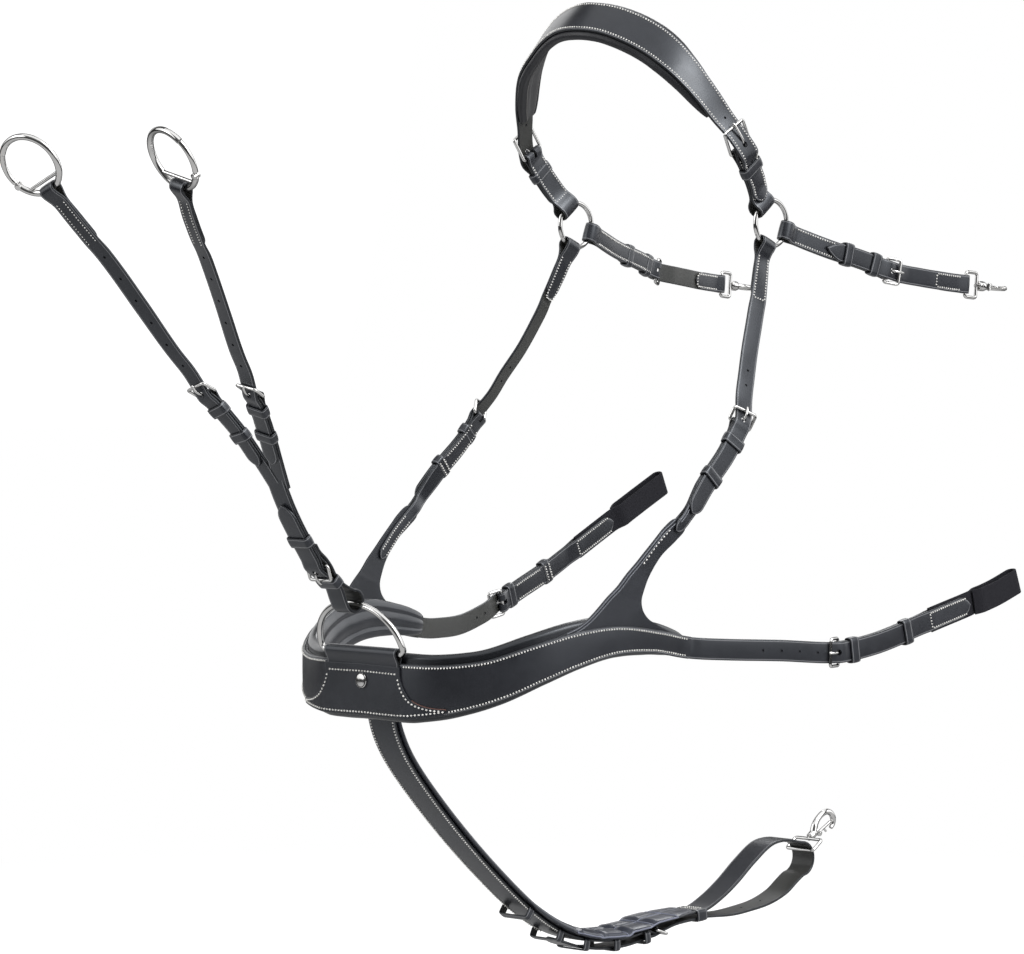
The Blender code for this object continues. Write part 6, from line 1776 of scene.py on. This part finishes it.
class BREASTPLATE_OT_belly(bpy.types.Operator):
    """Builds the strap between the forelegs, its quilted pad, and the buckled loop with its snap hook"""

    bl_idname = "breastplate.belly"
    bl_label = "Belly strap"

    def execute(self, context):
        route = Route(BELLY, BELLY_OUT)
        heel = belly_at(route, 86)
        half = BELLY_WIDTH / 2
        narrow = [(0.0, half), (heel - 30 * MM, half - 2 * MM), (heel - 10 * MM, BELLY_LOOP_WIDTH / 2)]
        skin, cutters, keepers, threads = Shape(), Shape(), Shape(), Shape()
        stops = level_stops(2 * MM, heel - FOLD_CLEAR, 0.0, thick=PANEL_THICK / 2)
        stops += [(s, n + 0.3 * MM, LAYER / 2) for s, n, _ in reversed(fold_stops(heel, 1, FOLD_BORE)[2:])]
        run(skin, route, stops, lambda s: widths_between(narrow, s), crown=0.3 * MM)
        for y in CROSS_LOOPS:
            keeper(keepers, route, belly_at(route, y), half - 1.2 * MM, 0.4 * MM, CROSS_LOOP_DROP, 8 * MM)
        fold_slot(cutters, route, heel, 1)
        leather_piece("belly_strap", skin, cutters=cutters, extra=keepers)
        sew_edges(threads, route, 20 * MM, belly_at(route, -40), half, PANEL_THICK / 2 + THREAD_LIFT,
                  3.2 * MM, faces=(1,))
        buckle("belly_buckle", route, heel, 1, BELLY_LOOP_WIDTH)
        self.build_pad(route, heel)
        self.build_loop(route, heel, belly_at(route, BELLY_KEEPER), threads)
        stitching("belly_stitching", threads)
        return {"FINISHED"}

    def build_pad(self, route, heel):
        """The lining behind the belly strap, which runs on into two rows of quilted cushions."""
        end = heel + BELLY_PAD_TAIL * MM
        quilt = [belly_at(route, y) for y in QUILT_ROWS]
        start, wide = belly_at(route, -88), BELLY_WIDTH / 2 + 6 * MM
        tops = [(heel - 44 * MM, -PANEL_THICK / 2 - GAP), (heel - 40 * MM, -4.6 * MM)]
        tops += [(heel - 16 * MM, -4.6 * MM), (heel - 5 * MM, -7.5 * MM), (heel + 12 * MM, -7.9 * MM)]
        halves = [(start, wide - 3 * MM), (quilt[0], wide), (quilt[-1], wide)]
        halves += [(end, BELLY_LOOP_WIDTH / 2 + 3 * MM)]
        thicks = [(26 * MM, 4 * MM), (50 * MM, 6 * MM), (start, 6 * MM), (quilt[0], BELLY_PAD_THICK)]
        thicks += [(heel - 46 * MM, BELLY_PAD_THICK), (heel - 38 * MM, 5.5 * MM), (end, 3 * MM)]
        places = spaced(26 * MM, end, 2.2 * MM)
        rows, marks = [], []
        for s in places:
            width, top, thick = (widths_between(sizes, s) for sizes in (halves, tops, thicks))
            away = min(abs(s - c) for c in quilt)
            deep = QUILT_DIP * min(max((s - quilt[0] + 16 * MM) / (12 * MM), 0.0), 1.0)
            dip = deep * max(0.0, 1 - (away / (6 * MM)) ** 2) ** 2
            row = [(share * (width - 2 * MM), top) for share in (-1.0, -0.5, 0.0, 0.5, 1.0)]
            edges = [(0.0, s)] * len(row)
            for k in range(31):
                angle = pi * k / 30
                x = (abs(cos(angle)) ** 0.75) * (1 if cos(angle) >= 0 else -1)
                channel = deep * max(0.0, 1 - (x / 0.22) ** 2) ** 2
                y = max(sin(angle), 0.0) ** 0.6 * (1 - max(dip, channel))
                pull = 1 - 0.05 * dip / QUILT_DIP
                row.append((width * x * pull, top - 0.5 * MM - (thick - 0.5 * MM) * y))
                edges.append((width * (1 - abs(x)), s))
            rows.append([route.place(s, n, b) for b, n in row])
            marks.append(edges)
        pad, piping = Shape(), Shape()
        pad.rows(rows, marks)
        padded_piece("belly_pad_quilt", pad, leather("quilted_leather"), "belly_pad")
        sewn = [i for i, s in enumerate(places) if quilt[0] - 2 * MM <= s <= quilt[-1] + 2 * MM]
        cords = [[rows[i][k] for i in sewn] for k in (6, 20, 34)]
        cords += [rows[min(sewn, key=lambda i: abs(places[i] - c))][6:35] for c in quilt]
        for cord in cords:
            tube(piping, cord, QUILT_CORD, 8)
        piece("belly_pad_piping", piping, leather("quilt_piping"))

    def build_loop(self, route, heel, keeper_at, threads):
        """The loop strap: from the pad's end up round the snap's eye and back through the buckle."""
        half, thick = BELLY_LOOP_WIDTH / 2, BILLET_THICK / 2
        low, high = -6.2 * MM, 0.3 * MM + thick + GAP
        first = [(heel - 38 * MM, -3 * MM), (heel - 15 * MM, -3 * MM), (heel - 4 * MM, -5.8 * MM)]
        first += [(heel + 12 * MM, -5.8 * MM), (keeper_at - 8 * MM, low), (keeper_at + 8 * MM, low)]
        drop = CROSS_LOOP_DROP - thick - GAP
        back = [(keeper_at + 6 * MM, 0.3 * MM), (keeper_at - 8 * MM, 0.2 * MM)]
        back += [(heel + d * MM, billet_level(heel + d * MM, heel, 1)) for d in (30, 13, 0)]
        back += [(heel - 9 * MM, OVER_LEVEL + 0.3 * MM), (heel - 24 * MM, drop - 0.6 * MM)]
        back += [(s, drop) for s in spaced(heel - 42 * MM, belly_at(route, -44), 20 * MM)]
        centre = mm(*BELLY_TURN)
        turns = [radians(a) for a in range(95, -86, -18)]
        points = [route.place(s, n) for s, n in first] + [mm(0, y, z) for y, z in BELLY_LOOP_OUT]
        points += [centre + Vector((0, cos(a), sin(a))) * BELLY_TURN_RADIUS * MM for a in turns]
        points += [mm(0, y, z) for y, z in BELLY_LOOP_BACK] + [route.place(s, n) for s, n in back]
        line = through(points, 3 * MM)
        count, gone = len(line), lengths(line)
        halves = [half * tip_share(gone[-1] - d, half) for d in gone]
        skin, cutters, keepers = Shape(), Shape(), Shape()
        ply(skin, line, [Vector((-1, 0, 0))] * count, halves, [thick] * count)
        keeper(keepers, route, keeper_at, half + SIDE_PLAY, low - 0.5 * MM, high, 14 * MM)
        tongue_hole(cutters, route, heel + TONGUE_AT)
        for y, z in BELLY_LOOP_BACK[2:4]:
            ends = [mm(0, y, z + side * HOLE_REACH / MM) for side in (-1, 1)]
            tube(cutters, ends, SMALL_HOLE_RADIUS, 14)
        leather_piece("belly_loop_strap", skin, cutters=cutters, extra=keepers)
        sew_keeper(threads, route, keeper_at, half, high + KEEPER_WALL, 3.2 * MM, 0.1 * MM)
        sew_keeper(threads, route, keeper_at, half - 2 * MM, low - 0.5 * MM - KEEPER_WALL)
        lean = radians(BELLY_SNAP_LEAN)
        along, out = Vector((0, cos(lean), sin(lean))), Vector((0, sin(lean), -cos(lean)))
        seat = BELLY_TURN_RADIUS * MM - thick - SNAP_EYE_WIRE - GAP
        snap_hook("belly_snap", centre + along * seat, along, out, Vector((1, 0, 0)), BELLY_LOOP_WIDTH,
                  BELLY_EYE_DEPTH, BELLY_SNAP_SIZE, BELLY_SNAP_BARREL)


# The camera: where it looks from, and its field of view
VIEW_TURN = 45.0
VIEW_RISE = 2.4
VIEW_FROM = (3.1269, -3.2229, -0.2366)
VIEW_LENS = 166.3
FLOOR_HEIGHT = -0.93
FLOOR_REACH = 14.0

# Bright panels around the subject: direction, where each begins (as a cosine) and strength
SOFT_BOXES = (
    ((0.2, -0.1, 1.0), 0.74, 0.9),
    ((0.78, 0.1, 0.62), 0.90, 2.0),
    ((0.96, 0.2, 0.12), 0.90, 1.3),
    ((-0.6, -0.8, 0.3), 0.84, 1.1),
    ((0.25, 0.9, 0.25), 0.86, 1.5),
    ((-0.9, 0.3, 0.1), 0.88, 1.1),
)


class BREASTPLATE_OT_stage(bpy.types.Operator):
    """Adds the pale floor, the soft studio lights, the sky and the camera"""

    bl_idname = "breastplate.stage"
    bl_label = "Stage and camera"

    def execute(self, context):
        self.camera(context)
        self.floor()
        self.sky(context)
        self.lamp("key_light", (2.6, 0.2, 2.2), 1.5, 42.0)
        self.lamp("fill_light", (-1.4, -2.9, 1.2), 1.6, 14.0)
        self.lamp("rim_light", (-1.6, 2.2, 1.6), 1.4, 20.0)
        return {"FINISHED"}

    def camera(self, context):
        turn, rise = radians(VIEW_TURN), radians(VIEW_RISE)
        right = Vector((cos(turn), sin(turn), 0))
        back = Vector((sin(turn) * cos(rise), -cos(turn) * cos(rise), sin(rise)))
        data = bpy.data.cameras.new("photo_camera")
        data.lens = VIEW_LENS
        data.clip_start = 0.1
        data.clip_end = 60.0
        camera = added("photo_camera", data)
        facing = Matrix((right, back.cross(right), back)).transposed()
        camera.matrix_world = Matrix.Translation(VIEW_FROM) @ facing.to_4x4()
        context.scene.camera = camera

    def floor(self):
        mesh = bpy.data.meshes.new("floor")
        corners = [(x * FLOOR_REACH, y * FLOOR_REACH, FLOOR_HEIGHT) for x, y in
                   ((-1, -1), (1, -1), (1, 1), (-1, 1))]
        mesh.from_pydata(corners, [], [(0, 1, 2, 3)])
        floor = added("floor", mesh)
        plain = {"Base Color": (0.6, 0.6, 0.6, 1.0), "Roughness": 0.9, "Specular IOR Level": 0.0}
        made = finish("pale_floor", lambda tree: plain)
        tree = made.node_tree
        shader = tree.nodes["Principled BSDF"].outputs[0]
        away = add_node(tree, "VectorMath", {0: object_place(tree)}, operation="LENGTH").outputs["Value"]
        lift = add_node(tree, "Emission", {"Strength": 0.6}).outputs[0]
        near = add_node(tree, "AddShader", {0: shader, 1: lift}).outputs[0]
        far = add_node(tree, "Emission").outputs[0]
        spread = {"Fac": ramp(tree, away, 0.7, 1.6), 1: near, 2: far}
        shown = add_node(tree, "MixShader", spread).outputs[0]
        band = ramp(tree, away, 0.6, 1.0, 0.1, 0.5)
        band = math_node(tree, "ADD", band, ramp(tree, away, 1.9, 2.6, 0.0, -0.46))
        dim = add_node(tree, "Emission", {"Strength": band}).outputs[0]
        rays = add_node(tree, "LightPath").outputs
        glossy = add_node(tree, "MixShader", {"Fac": rays["Is Glossy Ray"], 1: shader, 2: dim}).outputs[0]
        seen = add_node(tree, "MixShader", {"Fac": rays["Is Camera Ray"], 1: glossy, 2: shown}).outputs[0]
        fill(tree, tree.nodes["Material Output"], {"Surface": seen})
        floor.data.materials.append(made)

    def sky(self, context):
        """White to the camera. Elsewhere a dim studio with bright panels to shine on metal and leather."""
        world = bpy.data.worlds.new("studio")
        context.scene.world = world
        world.use_nodes = True
        tree = world.node_tree
        towards = add_node(tree, "TexCoord").outputs["Generated"]
        height = add_node(tree, "SeparateXYZ", {"Vector": towards}).outputs["Z"]
        total = ramp(tree, height, -0.3, 0.6, 0.035, 0.14)
        for direction, edge, power in SOFT_BOXES:
            inputs = {0: towards, 1: Vector(direction).normalized()}
            near = add_node(tree, "VectorMath", inputs, operation="DOT_PRODUCT").outputs["Value"]
            total = math_node(tree, "ADD", total, ramp(tree, near, edge, edge + 0.03, 0.0, power))
        strength = math_node(tree, "MAXIMUM", add_node(tree, "LightPath").outputs["Is Camera Ray"], total)
        fill(tree, tree.nodes["Background"], {"Color": (1.0, 1.0, 1.0, 1.0), "Strength": strength})

    def lamp(self, name, place, size, power):
        data = bpy.data.lights.new(name, "AREA")
        data.shape = "DISK"
        data.size = size
        data.energy = power
        lamp = added(name, data)
        target = Vector((0.0, -0.1, -0.45))
        lamp.location = place
        lamp.rotation_mode = "QUATERNION"
        lamp.rotation_quaternion = (target - Vector(place)).to_track_quat("-Z", "Y")


def colour_property(name, description, default):
    return FloatVectorProperty(name=name, description=description, subtype="COLOR", size=3, min=0, max=1,
                               default=default)


class BreastplateLook(bpy.types.PropertyGroup):
    """Colours and sizes of the breastplate's finish."""

    leather_colour: colour_property(
        "Leather", "Colour of the leather's grain side", (0.014, 0.0145, 0.018))
    flesh_colour: colour_property(
        "Flesh side", "Colour of the leather's back", (0.034, 0.033, 0.029))
    lining_colour: colour_property(
        "Pad lining", "Colour of the lining between the wither pad's rolls", (0.045, 0.045, 0.047))
    quilt_colour: colour_property(
        "Quilting", "Colour of the belly strap's quilted pad", (0.019, 0.021, 0.033))
    # The piping's paler colour is a painted highlight, not the leather's own colour.
    piping_colour: colour_property(
        "Piping", "Colour of the horns' piping", (0.075, 0.078, 0.09))
    thread_colour: colour_property(
        "Thread", "Colour of the stitching", (0.97, 0.96, 0.92))
    metal_colour: colour_property(
        "Metalwork", "Colour of the plated buckles, rings and hooks", (0.88, 0.875, 0.865))
    elastic_colour: colour_property(
        "Elastic", "Colour of the girth loops' webbing", (0.014, 0.014, 0.018))
    stitch_pitch: FloatProperty(
        name="Stitch length", description="Distance from one stitch to the next", unit="LENGTH", min=0.001,
        default=2.9 * MM)
    thread_width: FloatProperty(
        name="Thread width", description="Thickness of the thread", unit="LENGTH", min=0.0002,
        default=1.7 * MM)
    padding_fullness: FloatProperty(
        name="Padding", description="Share of the pads' full thickness", subtype="FACTOR", min=0.5, max=1.0,
        default=0.97)


class BREASTPLATE_PT_panel(bpy.types.Panel):
    """Lists the breastplate's pieces and finishes in the sidebar"""

    bl_label = "Hunting Breastplate"
    bl_space_type = "VIEW_3D"
    bl_region_type = "UI"
    bl_category = "Breastplate"

    def draw(self, context):
        layout = self.layout
        for name in BreastplateLook.__annotations__:
            layout.prop(context.scene.breastplate_look, name)
        for operator in OPERATORS:
            layout.operator(operator.bl_idname)


OPERATORS = (
    BREASTPLATE_OT_stage,
    BREASTPLATE_OT_wither,
    BREASTPLATE_OT_collar,
    BREASTPLATE_OT_shoulders,
    BREASTPLATE_OT_girths,
    BREASTPLATE_OT_saddle,
    BREASTPLATE_OT_martingale,
    BREASTPLATE_OT_belly,
)
CLASSES = (BreastplateLook, *OPERATORS, BREASTPLATE_PT_panel)


def register():
    for cls in CLASSES:
        bpy.utils.register_class(cls)
    bpy.types.Scene.breastplate_look = PointerProperty(type=BreastplateLook)


def unregister():
    del bpy.types.Scene.breastplate_look
    for cls in reversed(CLASSES):
        bpy.utils.unregister_class(cls)


def clear_startup():
    """Removes the objects that a new file comes with, and keeps the loaded frame."""
    kept = set(frame["nodes"].values()) | set(frame["bodies"].values())
    for obj in list(bpy.data.objects):
        if obj not in kept:
            bpy.data.objects.remove(obj)


def main():
    clear_startup()
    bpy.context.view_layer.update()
    register()
    scene = bpy.context.scene
    scene.view_settings.view_transform = "Standard"
    bpy.ops.breastplate.stage()
    bpy.ops.breastplate.wither()
    bpy.ops.breastplate.collar()
    bpy.ops.breastplate.shoulders()
    bpy.ops.breastplate.girths()
    bpy.ops.breastplate.saddle()
    bpy.ops.breastplate.martingale()
    bpy.ops.breastplate.belly()


if __name__ == "__main__":
    main()
